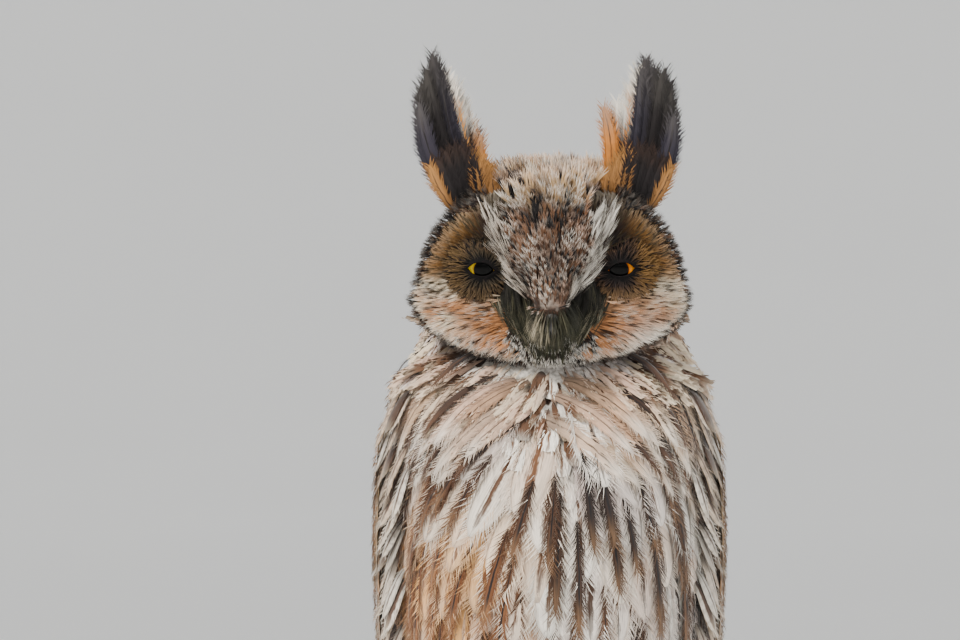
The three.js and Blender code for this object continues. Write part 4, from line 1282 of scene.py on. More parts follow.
# %% The skin's own markings
skin_tone = np.where(face[:, None], mix(disc_tone, SOOT, clamp(0.9 * lores)), breast_tone)
skin_tone = np.where(crown[:, None], mix(crown_tone, crown_tip, 0.3), skin_tone)
skin_tone = np.where(((skull & ~crown) | back)[:, None], nape_tone, skin_tone)
skin_tone = np.where((leg | toe)[:, None], feather_leg, skin_tone)
for key, values in fields(np.ones(count), normal, 1, 1, skin_tone, UMBER, CREAM).items():
    if key in KEEP:
        write(skin.data, key, values)
for spare in ("cover", "lie", "size", "root_map"):
    skin.data.attributes.remove(skin.data.attributes[spare])
skin.data.materials.append(under_plumage)
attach(skin, "root")
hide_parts("head", "neck", "torso", "leg_left", "leg_right", "foot_left", "foot_right")

# %% [markdown]
# ## Large feathers along guide curves
# Wing, tail and ear-tuft feathers are too long to be planted: each follows its own curve over
# the body. A modeller could bend copies of one feather with a lattice. Here a guide line is
# drawn for each feather, and Geometry Nodes sweep a thin lens-shaped section along it, which
# gives a closed vane with a top and an underside, and then set loose barbs down both edges.

# %% The vane's tree
def edge_only(name, points, edges):
    mesh = bpy.data.meshes.new(name)
    mesh.from_pydata(np.asarray(points, float).tolist(), edges, [])
    return mesh


def lens_section(name, columns=6, thick=0.05, arch=0.16):
    """The closed section of a vane: X is the way out, Y runs one unit to each side."""
    across = np.linspace(-1, 1, columns + 1)
    top = [(thick * (1 - a * a * 0.8) - arch * a * a, -a, 0) for a in across]
    under = [(-0.35 * thick * (1 - a * a * 0.8) - arch * a * a, -a, 0) for a in across[::-1]]
    points = under[::-1] + top[::-1]  # in this order the faces of the vane look outward
    mesh = edge_only(name, points, [(i, (i + 1) % len(points)) for i in range(len(points))])
    write(mesh, "across", [p[1] for p in points])
    return plain_object(name, mesh)


def barb_blade(name):
    points = [(-0.5, 0, 0), (0.5, 0, 0), (0.45, 0.5, 0.05), (-0.45, 0.5, 0.05), (0, 1, 0)]
    vane = [(0, 0, 0), (0, 0, 0), (0, 0.5, 0), (0, 0.5, 0), (0, 1, 0)]
    made = small_mesh(name, points, [(0, 1, 2, 3), (3, 2, 4)], vane)
    bpy.context.scene.collection.objects.link(made)
    return made


def vane_tree():
    tree, given = geometry_tree("vanes", (
        ("Guides", "Geometry", None), ("Section", "Object", None), ("Barb", "Object", None),
        ("Barb Spacing", "Float", 0.001), ("Barb Length", "Float", 0.003),
        ("Barb Width", "Float", 0.0004), ("Material", "Material", None),
    ), "Feathers")

    def mesh_of(key):
        return add(tree, "GeometryNodeObjectInfo", {"Object": given[key]}).outputs["Geometry"]

    half, along = stored(tree, "half", "FLOAT"), stored(tree, "along", "FLOAT")
    curve = add(tree, "GeometryNodeMeshToCurve", {0: given["Guides"]}).outputs[0]
    inputs = {"Curve": curve, "Normal": stored(tree, "out")}
    curve = add(tree, "GeometryNodeSetCurveNormal", inputs, mode="FREE").outputs[0]
    section = add(tree, "GeometryNodeMeshToCurve", {0: mesh_of("Section")}).outputs[0]
    web = add(tree, "GeometryNodeCurveToMesh", {
        "Curve": curve, "Profile Curve": section, "Scale": half, "Fill Caps": True,
    }).outputs[0]
    parts = [store(tree, web, "vane", combine(tree, stored(tree, "across", "FLOAT"), along))]
    inputs = {"Curve": curve, "Length": given["Barb Spacing"]}
    spots = add(tree, "GeometryNodeCurveToPoints", inputs, mode="LENGTH").outputs
    for side in (-1, 1):
        sideways = vector_calc(tree, "CROSS_PRODUCT", spots["Normal"], spots["Tangent"])
        slide = vector_calc(tree, "SCALE", sideways, times(tree, half, 0.86 * side))
        inputs = {"Geometry": spots["Points"], "Offset": slide}
        moved = add(tree, "GeometryNodeSetPosition", inputs).outputs[0]
        least, most = (-0.15, -0.2, side * 0.25), (0.25, 0.2, side * 0.75)
        lean = chance(tree, least, most, 21 + side, "FLOAT_VECTOR")
        long = times(tree, given["Barb Length"], chance(tree, 0.5, 1.3, 25 + side))
        barbs = add(tree, "GeometryNodeInstanceOnPoints", {
            "Points": moved, "Instance": mesh_of("Barb"),
            "Rotation": aimed(tree, spots["Tangent"], spots["Normal"], lean),
            "Scale": combine(tree, given["Barb Width"], long, long),
        }).outputs[0]
        real = add(tree, "GeometryNodeRealizeInstances", {"Geometry": barbs}).outputs[0]
        parts.append(store(tree, real, "vane", combine(tree, float(side), along)))
    joined = add(tree, "GeometryNodeJoinGeometry")
    for part in parts:
        tree.links.new(part, joined.inputs[0])
    in_cell = vector_calc(tree, "ADD", stored(tree, "vane"), (1, 0, 0))
    in_cell = vector_calc(tree, "MULTIPLY", in_cell, (0.5, 1, 0))
    in_cell = vector_calc(tree, "MULTIPLY", in_cell, stored(tree, "cell_size"))
    spot = vector_calc(tree, "ADD", stored(tree, "cell"), in_cell)
    mapped = store(tree, joined.outputs[0], "OFBake", spot, "FLOAT2", "CORNER")
    real = add(tree, "GeometryNodeRealizeInstances", {"Geometry": mapped}).outputs[0]
    inputs = {"Geometry": real, "Material": given["Material"]}
    painted = add(tree, "GeometryNodeSetMaterial", inputs).outputs[0]
    soft = add(tree, "GeometryNodeSetShadeSmooth", {"Geometry": painted}).outputs[0]
    add(tree, "NodeGroupOutput", {0: soft})
    return tree


VANES = vane_tree()
vane_section = lens_section("vane_section")
barb = barb_blade("barb")

# %% [markdown]
# Each guide carries what its feather needs: how wide it is at each point, which way is out,
# and its three tones. The map gives every large feather a cell of its own in a grid.

# %% Guides
FLIGHT_SHAPE = [
    [0, 0.35], [0.08, 0.6], [0.2, 0.9], [0.4, 1.0], [0.7, 1.0],
    [0.86, 0.85], [0.95, 0.55], [1, 0.12],
]
COVERT_SHAPE = [
    [0, 0.4], [0.15, 0.75], [0.4, 1.0], [0.7, 1.0], [0.88, 0.78], [0.96, 0.45], [1, 0.1],
]
CELL_FILL = 0.94  # the share of its cell on the map that a feather takes up


class Guides:
    """Collects the guide lines of one group of large feathers."""

    def __init__(self):
        self.rows = []

    def add(self, points, out, half, shape, tone, mark, tip, pattern, dark=0.0):
        """One feather: its line, the way out at each point, its half width, shape and tones."""
        line = np.asarray(points, float)
        self.rows.append((line, unit(out), half, shape, tone, mark, tip, pattern, dark))

    def build(self, name, finish, slot_name, barb_size=(0.9, 3.0, 0.35)):
        """Sweeps the feathers; barb_size gives the barbs' spacing, length and width."""
        n = len(self.rows)
        grid = math.ceil(math.sqrt(n * 4))  # narrow cells: feathers are long
        tall = max(1, grid // 4)
        size = np.array([1 / (math.ceil(n / tall)), 1 / tall, 0]) * CELL_FILL
        points, edges, data = [], [], {}
        rng = np.random.default_rng(n)
        for i, (line, out, half, shape, tone, mark, tip, pattern, dark) in enumerate(self.rows):
            start, k = len(points), len(line)
            points.extend(line * MM)
            edges += [(start + j, start + j + 1) for j in range(k - 1)]
            along = np.linspace(0, 1, k)
            column, row = (i // tall) * size[0] / CELL_FILL, (i % tall) * size[1] / CELL_FILL
            values = {"out": out, "half": half * curve_at(shape, along) * MM, "along": along}
            for key, value in {
                "cell": np.array([column, row, 0]) + 0.03 * size, "cell_size": size,
                "tone": tone, "mark": mark, "tip_tone": tip, "pattern": pattern,
                "dark_share": dark, "draw": rng.uniform(),
            }.items():
                values[key] = np.broadcast_to(value, (k, *np.shape(value)))
            for key, value in values.items():
                data.setdefault(key, []).append(value)
        mesh = edge_only(name + "_guides", points, edges)
        for key, value in data.items():
            write(mesh, key, np.concatenate(value))
        holder = plain_object(name + "_guides", mesh)
        grow = holder.modifiers.new("vanes", "NODES")
        grow.node_group = VANES
        spacing, long, wide = barb_size
        set_inputs(grow, {
            "Section": vane_section, "Barb": barb, "Barb Spacing": spacing * MM,
            "Barb Length": long * MM, "Barb Width": wide * MM, "Material": finish,
        })
        piece = plain_result(name, holder)
        bpy.data.objects.remove(holder)
        print(f"{name}: {n} feathers, {triangles(piece)} triangles")
        return piece


# %% [markdown]
# ## Lines traced over the skin
# The breast and the shawl follow the skin itself. A line starts at a root and takes short steps
# in the direction that a small rule gives for that place; after each step the nearest point of
# the skin brings it back to the surface. A shrinkwrap would pull whole feathers flat, while this
# keeps each one at its own height, rising from root to tip so that rows overlap like tiles.

# %% Tracing
SKIN_FACES = [tuple(patch.vertices) for patch in skin.data.polygons]
SKIN_TREE = BVHTree.FromPolygons(place.tolist(), SKIN_FACES)


def trace(start, way_at, long, low, high, steps):
    """Places over the skin and the way out at each; the height goes from low to high."""
    point, line, outs = np.asarray(start, float), [], []
    for k in range(steps):
        s = k / (steps - 1)
        near, out = (np.array(found) for found in SKIN_TREE.find_nearest(Vector(point))[:2])
        line.append(near + out * (low + (high - low) * s**0.8))
        outs.append(out)
        ahead = way_at(near, s)
        point = near + unit(ahead - out * (ahead @ out)) * long / (steps - 1)
    return np.array(line), np.array(outs)


def roots_on_trunk(start):
    """False where the nearest skin is the head's, so that no body feather grows there."""
    nearest = SKIN_TREE.find_nearest(Vector(start))[2]
    return bool(trunk[SKIN_FACES[nearest][0]])


def on_torso(z_mm, degrees):
    cy, half, fore, aft = between(TORSO, z_mm)
    bearing = math.radians(degrees)
    depth = fore if abs(degrees) < 90 else aft
    return np.array([half * math.sin(bearing), cy - depth * math.cos(bearing), z_mm])


# %% Breast feathers
def breast_way(spot, _share):
    """Down, and outward from a line a little to one side of the middle; strongest near the top."""
    off = spot[0] - 4
    fan = (0.22 + 0.5 * float(smooth(205, 272, spot[2]))) * (1.3 if off < 0 else 0.75)
    return np.array([math.copysign(min(1, abs(off) / 28), off) * fan, 0.0, -1.0])


petal_shape = [[0, 0.3], [0.2, 0.7], [0.45, 0.98], [0.7, 1.0], [0.88, 0.7], [1, 0.12]]
strand_shape = [[0, 0.5], [0.25, 0.85], [0.6, 1.0], [0.85, 0.7], [1, 0.12]]
shaft_shape = [[0, 0.1], [0.3, 0.6], [0.65, 1.0], [0.85, 0.7], [1, 0.1]]
DEEP_OCHRE = colour("dc983a")
rng = np.random.default_rng(60)
petals = {"upper": Guides(), "lower": Guides()}
for row in range(10):
    root_z = 281 - 14 * row
    across = 9.6 if row < 8 else 12
    for k in range(-10, 11):
        degrees = (k + 0.22 * (row % 2)) * across + rng.uniform(-2.4, 2.4)
        start = on_torso(root_z + rng.uniform(-6, 6), degrees)
        if abs(degrees) > 103 or not roots_on_trunk(start):
            continue
        flank = float(smooth(62, 88, abs(degrees)))
        long = between([[140, 27], [180, 33], [250, 36], [290, 30]], root_z)[0]
        long = long * rng.uniform(0.88, 1.12)
        rise = 4.5 + 2.3 * flank + rng.uniform(-0.6, 0.6)
        line, out = trace(start, breast_way, long, 0.6, rise, 13)
        middle = line[8]
        warm = float(clamp(warmth(middle[0], middle[2]) + rng.uniform(-0.3, 0.3)))
        cool_tone = mix(WHITE, LILAC, rng.uniform(0, 0.9))
        tone = mix(cool_tone, mix(DEEP_OCHRE, BUFF, rng.uniform(0, 0.6)), 0.9 * warm)
        mark = mix(mix(BROWN, SOOT, rng.uniform(0.2, 0.9)), TAWNY, 0.3 * warm)
        streak = rng.uniform(0.1, 0.24)
        bars = rng.uniform(0, 0.5) * float(smooth(262, 215, root_z)) + 0.4 * flank
        half = rng.uniform(4.9, 6.5) * (1 - 0.35 * flank)
        tip = mix(WHITE, tone, 0.6 * warm)
        group = petals["upper" if row < 5 else "lower"]
        group.add(line, out, half, petal_shape, tone, mark, tip, (streak, bars, 0.3))
for root_z in (266, 244, 218, 190, 158):  # dark shafts that run on over several feathers
    for k in range(-8, 9):
        start = on_torso(root_z + rng.uniform(-14, 8), k * 9.6 + rng.uniform(-4, 4))
        if roots_on_trunk(start):
            line, out = trace(start, breast_way, rng.uniform(22, 38), 3.6, 5.3, 12)
            warm = float(warmth(*line[6][[0, 2]]))
            tone = mix(mix(BROWN, SOOT, rng.uniform(0.1, 0.9)), TAWNY, 0.3 * warm)
            half, tip = rng.uniform(0.6, 1.4), mix(tone, TAN, 0.4)
            petals["lower"].add(line, out, half, shaft_shape, tone, SOOT, tip, (0.3, 0.2, 0.6))
for part, guides in petals.items():
    piece = guides.build(f"breast_feathers_{part}", soft_plumage, "plumage", (0.5, 5.0, 0.2))
    coat_pieces.append(piece)

# %% [markdown]
# ## Shawl
# Under the face the feathers are drawn out into long curved strands, which sweep from the
# throat over both shoulders. Broad pinkish ones and narrow dark ones lie by turns, nearly level
# in front and hanging down at the shoulders.

# %% Shawl strands
def shawl_way(spot, s):
    off = spot[0] + 5
    fall = 0.5 + 0.8 * s + 2.2 * float(smooth(30, 50, abs(off)))
    return np.array([float(np.clip(off / 3, -1, 1)), 0.0, -fall])


rng = np.random.default_rng(61)
shawl_guides = Guides()
for row, root_z in enumerate((297, 291, 285, 279, 273)):
    for k in range(-18, 19):
        degrees = (k + 0.33 * (row % 3)) * 6.2 + rng.uniform(-1.4, 1.4)
        start = on_torso(root_z + rng.uniform(-1.5, 1.5), degrees)
        if not roots_on_trunk(start) or (root_z > 290 and abs(degrees) > 72):
            continue
        side_share = float(smooth(35, 80, abs(degrees)))
        long = rng.uniform(25, 33) - 9 * side_share * rng.uniform()
        rise = 6.4 - 0.2 * row + rng.uniform(-0.7, 0.7)
        line, out = trace(start, shawl_way, long, 1.0, rise, 12)
        if not (roots_on_trunk(line[5]) and roots_on_trunk(line[10])):
            continue
        dark = ((k + row) % 2 == 0 or rng.uniform() < 0.25 * side_share) and abs(degrees) > 9
        if dark:
            half, tone, tip = rng.uniform(0.9, 1.5), mix(UMBER, SOOT, rng.uniform()), BROWN
            shape, pattern = shaft_shape, (0.3, 0.2, 0.5)
        else:
            half, tip = rng.uniform(1.9, 2.8) * (1 - 0.5 * side_share), WHITE
            tone = mix(PINKISH, TAN, rng.uniform(0, 0.8))
            tone = mix(tone, CREAM, rng.uniform(0, 0.5) + 0.3 * side_share)
            shape, pattern = strand_shape, (0.08, 0.2, 0.5)
        shawl_guides.add(line, out, half, shape, tone, UMBER, tip, pattern)
piece = shawl_guides.build("shawl_feathers", soft_plumage, "plumage", (0.6, 3.4, 0.2))
coat_pieces.append(piece)

# %% [markdown]
# ## Wings
# The folded wing lies on the mantle, a surface a little wider than the body. Its feathers come
# in tiers as on the bird: long barred flight feathers below, then greater, median and lesser
# coverts, the shoulder feathers over all, and a cape and a collar that close the back up to the
# nape. Each tier is a loop over root and tip stations. Small finely barred feathers of the
# flank wrap the wing's front edge.

# %% Places on the mantle
def mantle_at(z_mm, degrees, side, lift):
    """A place on the mantle by height and by degrees round from the breast, and the way out."""
    z_mm, degrees = np.broadcast_arrays(np.asarray(z_mm, float), np.asarray(degrees, float))

    def at(height, bearing):
        cy, half, fore, aft = between(MANTLE, height).T
        depth = np.where(np.cos(bearing) > 0, fore, aft)
        return np.stack([side * half * np.sin(bearing), cy - depth * np.cos(bearing), height], -1)

    bearing = np.radians(degrees)
    down_way = at(z_mm - 1, bearing) - at(z_mm + 1, bearing)
    round_way = at(z_mm, bearing + 0.01) - at(z_mm, bearing - 0.01)
    out = unit(np.cross(round_way, down_way)) * -side
    return at(z_mm, bearing) + out * np.asarray(lift)[..., None], out


def wing_middle(z_mm, degrees):
    """0 at the wing's front and rear edges and 1 between them."""
    front, rear = between(WING, z_mm)[:, :2].T
    return np.sin(math.pi * clamp((degrees - front) / (rear - front))) ** 0.6


FLIGHT_TIPS = [
    [0, 68, 136], [0.12, 48, 148], [0.25, 38, 156], [0.38, 46, 163], [0.55, 74, 165],
    [0.8, 102, 160], [1, 126, 152],
]
WING_STEPS, COVERT_STEPS, WING_TOP = 16, 11, 196
TIERS = [
    # name, count, half width, lift, rise, edge, roll, and where roots and tips are
    ("flight", 20, 5.0, 1.2, 0.25, 0.6, (0.9, 1.5), [[0, 200, 88], [1, 206, 142]], FLIGHT_TIPS),
    ("greater", 12, 4.8, 2.6, 0.05, 0.9, (0.8, 0.8), [[0, 214, 84], [1, 222, 140]],
     [[0, 172, 92], [0.5, 164, 120], [1, 168, 150]]),
    ("median", 13, 3.8, 3.3, 0.0, 0.9, (0.8, 0.8), [[0, 240, 82], [1, 246, 122]],
     [[0, 200, 86], [0.5, 192, 106], [1, 194, 132]]),
    ("lesser", 13, 3.2, 3.8, 0.0, 0.9, (0.8, 0.8), [[0, 256, 84], [1, 260, 116]],
     [[0, 222, 84], [0.5, 216, 102], [1, 218, 124]]),
    ("shoulder", 10, 4.6, 4.4, 0.08, 1.0, (0.9, 0.9), [[0, 258, 116], [1, 260, 146]],
     [[0, 214, 124], [0.5, 198, 143], [1, 186, 158]]),
    ("cape", 18, 3.2, 4.4, 0.0, 0.8, (0.5, 0.5), [[0, 276, 98], [1, 280, 176]],
     [[0, 244, 98], [0.5, 236, 122], [1, 232, 176]]),
    ("collar", 18, 3.0, 3.2, 0.0, 0.9, (0.4, 0.4), [[0, 288, 114], [1, 291, 177]],
     [[0, 260, 110], [0.5, 254, 126], [1, 252, 177]]),
]


def wing_feathers(side):
    guides = Guides()
    for tier, (kind, n, half, lift, rise, edge, roll, root, tip) in enumerate(TIERS):
        rng = np.random.default_rng(70 + tier)
        shaggy = kind in ("cape", "collar")
        loose, sinks_over = (5, 0.45) if shaggy else (1.5, 0.08)
        for i in range(n):
            share = i / (n - 1)
            start, end = between(root, share), between(tip, share)
            s = np.linspace(0, 1, WING_STEPS if kind == "flight" else COVERT_STEPS)
            z_start = start[0] + rng.uniform(-1, 1) * loose
            z_mm = z_start + (end[0] + rng.uniform(-loose, loose) - start[0]) * s
            degrees = start[1] + (end[1] - start[1]) * s**1.2
            middle = wing_middle(z_mm, degrees)
            top = np.where(z_mm > WING_TOP, 0.8 + between(WING, z_mm)[:, 2] * middle, 0)
            clear = lift * (edge + (1 - edge) * middle) * np.minimum(1, 0.75 + s) + rise * i * s
            height = np.maximum(top + 0.4, clear)
            sunk = -5.0 if shaggy else top * 0.4
            height = sunk + (height - sunk) * smooth(0, sinks_over, s)
            line, out = mantle_at(z_mm, degrees, side, height)
            across = np.cross(out, unit(np.gradient(line, axis=0)))
            lean = (roll[0] + (roll[1] - roll[0]) * s) / half * side
            out = unit(out + across * lean[:, None])
            if kind == "flight":
                tone = mix(BUFF, OCHRE, 0.3) if share < 0.55 else TAN
                tone = mix(tone, GREY, 0.4 + 0.2 * rng.uniform())
                guides.add(line, out, half, FLIGHT_SHAPE, tone, UMBER, GREY, (0.07, 0.85, 0.25))
            else:
                pair = (TAN, BUFF) if rng.uniform() < 0.5 else (GREY, TAN)
                tone, tip_tone = mix(*pair, rng.uniform()), mix(WHITE, BUFF, 0.3)
                pattern = (rng.uniform(0.14, 0.3), rng.uniform(0.5, 0.9), rng.uniform(0.2, 0.6))
                wide = half * rng.uniform(0.9, 1.1)
                guides.add(line, out, wide, COVERT_SHAPE, tone, UMBER, tip_tone, pattern, 0.12)
    return guides


def flank_feathers(side):
    """Small finely barred feathers that wrap the leading edge of the folded wing."""
    guides = Guides()
    rng = np.random.default_rng(80)
    s = np.linspace(0, 1, 10)
    for row in range(15):
        for bearing in np.arange(64, 97, 4.4):
            z_mm = 277 - 9.6 * row + rng.uniform(-4, 4) - rng.uniform(12, 18) * s
            height = -2.5 + (6.6 + rng.uniform(-0.8, 0.8)) * s**0.6
            degrees = bearing + rng.uniform(-3, 3) + rng.uniform(0, 8) * s
            line, out = mantle_at(z_mm, degrees, side, height)
            tone = mix(WHITE, GREY, rng.uniform(0.1, 1))
            tone = mix(tone, mix(TAN, OCHRE, 0.3), rng.uniform(0, 0.6))
            pattern = (rng.uniform(0.08, 0.5), rng.uniform(0, 0.4), 0.3)
            half, mark = rng.uniform(1.7, 3.2), mix(BROWN, UMBER, 0.7)
            guides.add(line, out, half, petal_shape, tone, mark, CREAM, pattern, 0.1)
    return guides


for name, side in SIDES:
    flank = flank_feathers(side)
    piece = flank.build(f"flank_feathers_{name}", fine_barred, "plumage", (1.4, 2.6, 0.3))
    coat_pieces.append(piece)
    piece = wing_feathers(side).build(f"wing_feathers_{name}", firm_plumage, "flight_feathers")
    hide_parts(f"wing_{name}")
    coat_pieces.append(piece)

# %% [markdown]
# ## Rump
# The back between the folded wings gets rows of short barred feathers on the same mantle. They
# start under its surface and rise to it, so that each row covers the roots of the next.

# %% Rump, between the wings
saddle = Guides()
rng = np.random.default_rng(81)
s = np.linspace(0, 1, 10)
for root_z in range(226, 96, -12):
    for k in range(-5, 6):
        side = 1 if k > 0 else -1
        z_mm = root_z + rng.uniform(-4, 4) - 26 * s
        degrees = 180 - (5.6 + 0.02 * (200 - root_z)) * abs(k) + rng.uniform(-1, 1)
        line, out = mantle_at(z_mm, degrees, side, -3 + 3.2 * s**0.7)
        tone = mix(mix(TAN, GREY, rng.uniform()), BUFF, rng.uniform(0, 0.4))
        half, pattern = rng.uniform(3.4, 4.4), (0.18, 0.7, 0.3)
        saddle.add(line, out, half, COVERT_SHAPE, tone, UMBER, CREAM, pattern, 0.1)
coat_pieces.append(saddle.build("rump_feathers", firm_plumage, "plumage"))

# %% [markdown]
# ## Tail
# Twelve feathers close into a narrow fan behind the perch, the middle pair on top. Each pair
# lies one step below the last, so the fan keeps its order from any side. Short coverts lie
# over and under the fan's root.

# %% Tail feathers
TAIL_ROOT, TAIL_END = np.array([0.0, 44, 150]), np.array([0.0, 70, 28])
TAIL_OUT = np.cross(unit(TAIL_END - TAIL_ROOT), (-1, 0, 0))


def on_tail(s, x_mm, lift):
    s, x_mm, lift = np.broadcast_arrays(np.asarray(s, float), x_mm, lift)
    flat = TAIL_ROOT + (TAIL_END - TAIL_ROOT) * s[..., None]
    bend = np.stack([x_mm, -0.0045 * x_mm * x_mm, np.zeros_like(x_mm)], -1)
    return flat + bend + TAIL_OUT * lift[..., None]


FEATHER_STEP, FAN_INNER, FAN_OUTER = 0.86, 9.4, 20
tail = Guides()
s = np.linspace(0, 1, 20)
tail_out = np.tile(TAIL_OUT, (len(s), 1))
for i in range(6):
    far = FAN_INNER + (FAN_OUTER - FAN_INNER) * i / 5
    near = -3.5 if i == 0 else 0.3 + 0.7 * (i - 1)
    half, reach = (far - near) / 2, 0.998 - 0.008 * i - 0.003 * i * i - 0.12
    for side in (-1, 1):
        layer = (2 - i + (1 if i == 0 and side == 1 else 0)) * FEATHER_STEP
        path = on_tail(0.12 + reach * s, side * (near + far) / 2 * (0.7 + 0.3 * s), layer)
        tone, pattern = mix(TAN, GREY, 0.3), (0.06, 0.9, 0.2)
        tail.add(path, tail_out, half, FLIGHT_SHAPE, tone, UMBER, GREY, pattern)
arc = np.sin(np.pi * s)
for k in range(-3, 4):
    off = abs(k)
    lift = -3.2 - 1.2 * arc + 0.25 * off
    under = on_tail(0.02 + (0.5 - 0.04 * off) * s, k * (2.2 + 1.4 * s), lift)
    tail.add(under, -tail_out, 4.2, COVERT_SHAPE, CREAM, BROWN, WHITE, (0.1, 0.2, 0.4))
    lift = 4.4 + 0.8 * arc - 0.25 * off
    over = on_tail((0.36 - 0.03 * off) * s, k * (2.4 + 1.2 * s), lift)
    tone, pattern = mix(TAN, GREY, 0.4), (0.22, 0.6, 0.4)
    tail.add(over, tail_out, 4.4, COVERT_SHAPE, tone, UMBER, CREAM, pattern)
piece = tail.build("tail_feathers", firm_plumage, "flight_feathers")
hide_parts("tail")
coat_pieces.append(piece)

# %% [markdown]
# ## Ear tufts
# The tufts aren't ears but long feathers on the forehead. Each stands as a leaf-shaped fan:
# black outer feathers tinted plum and slate grey as a painted sheen, buff and orange inner ones,
# with a frayed white edge towards the middle.
# The feathers also step forward and back by turns, which gives the fan some depth from the
# side. Short ones round its foot hide where it leaves the head.

# %% Tuft feathers
TUFTS = {  # how far out each feather's root and tip are, how high the tip, how wide
    "right": [
        [17.5, 21, 361, 4], [19, 26, 370, 4.4], [21, 31, 378, 4.8],
        [23.5, 35.5, 384, 5.4], [26, 39, 376, 4.8], [28, 40, 366, 4.2],
    ],
    "left": [
        [16.5, 16, 368, 4.2], [19, 21.5, 371, 4.2], [21, 26, 379, 4.6],
        [23.5, 30, 384, 5.4], [26, 35.5, 377, 5], [28.5, 37.5, 367, 4.6],
    ],
}
TUFT_SHAPE = [[0, 0.5], [0.2, 0.8], [0.5, 1.0], [0.75, 0.86], [0.9, 0.5], [1, 0.1]]
TUFT_LONG, TUFT_SHORT = 22, 9  # how many long feathers, and short ones round the foot
# SLATE_SHEEN_GREY is the bluish grey of a painted sheen on black feathers
TUFT_INNER, TUFT_ROOT_Z, TUFT_DEPTH_STEP, SLATE_SHEEN_GREY = 0.46, 334, 1.5, colour("34323c")


def tuft(name, side):
    guides = Guides()
    rng = np.random.default_rng(90 + side)
    s = np.linspace(0, 1, 14)
    arc = np.sin(math.pi * s)[:, None]
    bow = np.array([side * 2.2, -2, 0])
    stations = np.column_stack([np.linspace(0, 1, 6), np.array(TUFTS[name])])
    for i in range(TUFT_LONG):
        share = i / (TUFT_LONG - 1)
        root_x, tip_x, tip_z, half = between(stations, share)
        tip_z = tip_z - rng.uniform(1.4, 7)
        start = np.array([side * root_x, -30 + 3 - 5.6 * share, TUFT_ROOT_Z])
        depth = start[1] + 5 * (tip_z - 338) / 46 + TUFT_DEPTH_STEP * (i * 7 % 5 - 2)
        end = np.array([side * tip_x, depth, tip_z])
        line = start + (end - start) * s[:, None] + bow * arc
        out = unit(np.tile([side * (0.5 * share - 0.15), -1, 0.1], (len(s), 1)))
        if share < TUFT_INNER:
            tone = mix(mix(OCHRE, TAWNY, rng.uniform(0.2, 0.8)), BUFF, 0.3 * share)
            if share < 0.12:
                tip, light = mix(GREY, UMBER, 0.4), 0.5
            else:
                tip, light = mix(WHITE, GREY, rng.uniform(0, 0.5)), 0.95
            look = (tone, UMBER, tip, (0.08, 0.12, light), 0.1)
        else:
            # painted sheen: the black outer feathers are tinted plum and slate grey, the sheen on
            # black feathers
            tone = mix(PLUM_SHEEN_BLACK, SLATE_SHEEN_GREY, rng.uniform(0, 0.8))
            look = (tone, SOOT, mix(SOOT, GREY, 0.25), (0.1, 0.0, 0.4), 0.2)
        guides.add(line, out, half * 0.5, TUFT_SHAPE, *look)
    for i in range(TUFT_SHORT):
        share = i / (TUFT_SHORT - 1)
        start = np.array([side * (16.5 + 12.5 * share), -36.5, 333])
        rise = 14 + 6 * math.sin(math.pi * share)
        end = start + np.array([side * (1.5 + 6 * share), 1.5, rise])
        line = start + (end - start) * s[:, None] + np.array([side * 0.8 * share, -1.2, 0]) * arc
        out = unit(np.tile([side * (0.6 * share - 0.2), -1, 0.1], (len(s), 1)))
        warm = share > 0.9 or share < 0.3
        tone, tip = (mix(OCHRE, BROWN, 0.75), mix(OCHRE, BROWN, 0.45)) if warm else (SOOT, UMBER)
        wide = 1.4 if share > 0.9 else 2.0
        guides.add(line, out, wide, TUFT_SHAPE, tone, SOOT, tip, (0.1, 0.0, 0.4), 0.1)
    return guides


for name, side in SIDES:
    guides = tuft(name, side)
    piece = guides.build(f"ear_tuft_feathers_{name}", face_hair, "ear_tuft", (0.4, 3.4, 0.22))
    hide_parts(f"ear_tuft_{name}")
    coat_pieces.append(piece)

# %% [markdown]
# ## Eyes
# The eyeball is a smooth globe with a clear gloss. Its colours are rings round the way that
# it looks: a black pupil, an orange-yellow iris with fine spokes, a dark outer edge. Painting
# them by angle from the line of sight keeps them round whatever the mesh.

# %% Eyeballs
PUPIL, IRIS_EDGE = (2.9, 3.1), (5.4, 6.3)  # from the line of sight, along the globe
# painted shade: the bird's right iris is yellower than its left, the look of an eye in shade
IRIS = {"right": ("e3c117", "8f6a08"), "left": ("ee9415", "a04a06")}  # its light and deep tone


def gaze_way(side):
    return unit(np.array([side * -0.08, -1.0, 0.12]) @ NOD.T)


def eye_material(name, side, iris, iris_deep):
    made, tree, shader = material(name, 0.05, 0.07, coat=0.05)
    shader.inputs["Coat Roughness"].default_value = 0.02
    centre = on_head(eye_centre(side)) * MM
    from_centre = vector_calc(tree, "SUBTRACT", own_place(tree), tuple(centre))
    way = vector_calc(tree, "NORMALIZE", from_centre)
    lined = vector_calc(tree, "DOT_PRODUCT", way, tuple(gaze_way(side)))
    off = times(tree, calc(tree, "ARCCOSINE", lined), EYE_RADIUS)
    spokes = grain(tree, way, 34.0, 3.0)
    ring = ramp_between(tree, plus(tree, off, times(tree, spokes, 0.8)), 3.2, 4.2)
    shade = blend_colours(tree, ring, iris_deep, iris)
    shade = blend_colours(tree, ramp_between(tree, spokes, 0.42, 0.66, 0.0, 0.5), shade, iris_deep)
    shade = blend_colours(tree, ramp_between(tree, off, *IRIS_EDGE), shade, SOOT)
    shade = blend_colours(tree, ramp_between(tree, off, *PUPIL), (0.0, 0.0, 0.0), shade)
    paint(tree, shader, shade)
    return made


for name, side in SIDES:
    eyeball = mesh_object(f"eyeball_{name}", [globe(on_head(eye_centre(side)), EYE_RADIUS, 64, 40)])
    bright, deep = (colour(code) for code in IRIS[name])
    eyeball.data.materials.append(eye_material(f"iris_{name}", side, bright, deep))
    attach(eyeball, "root")
    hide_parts(f"eye_{name}")

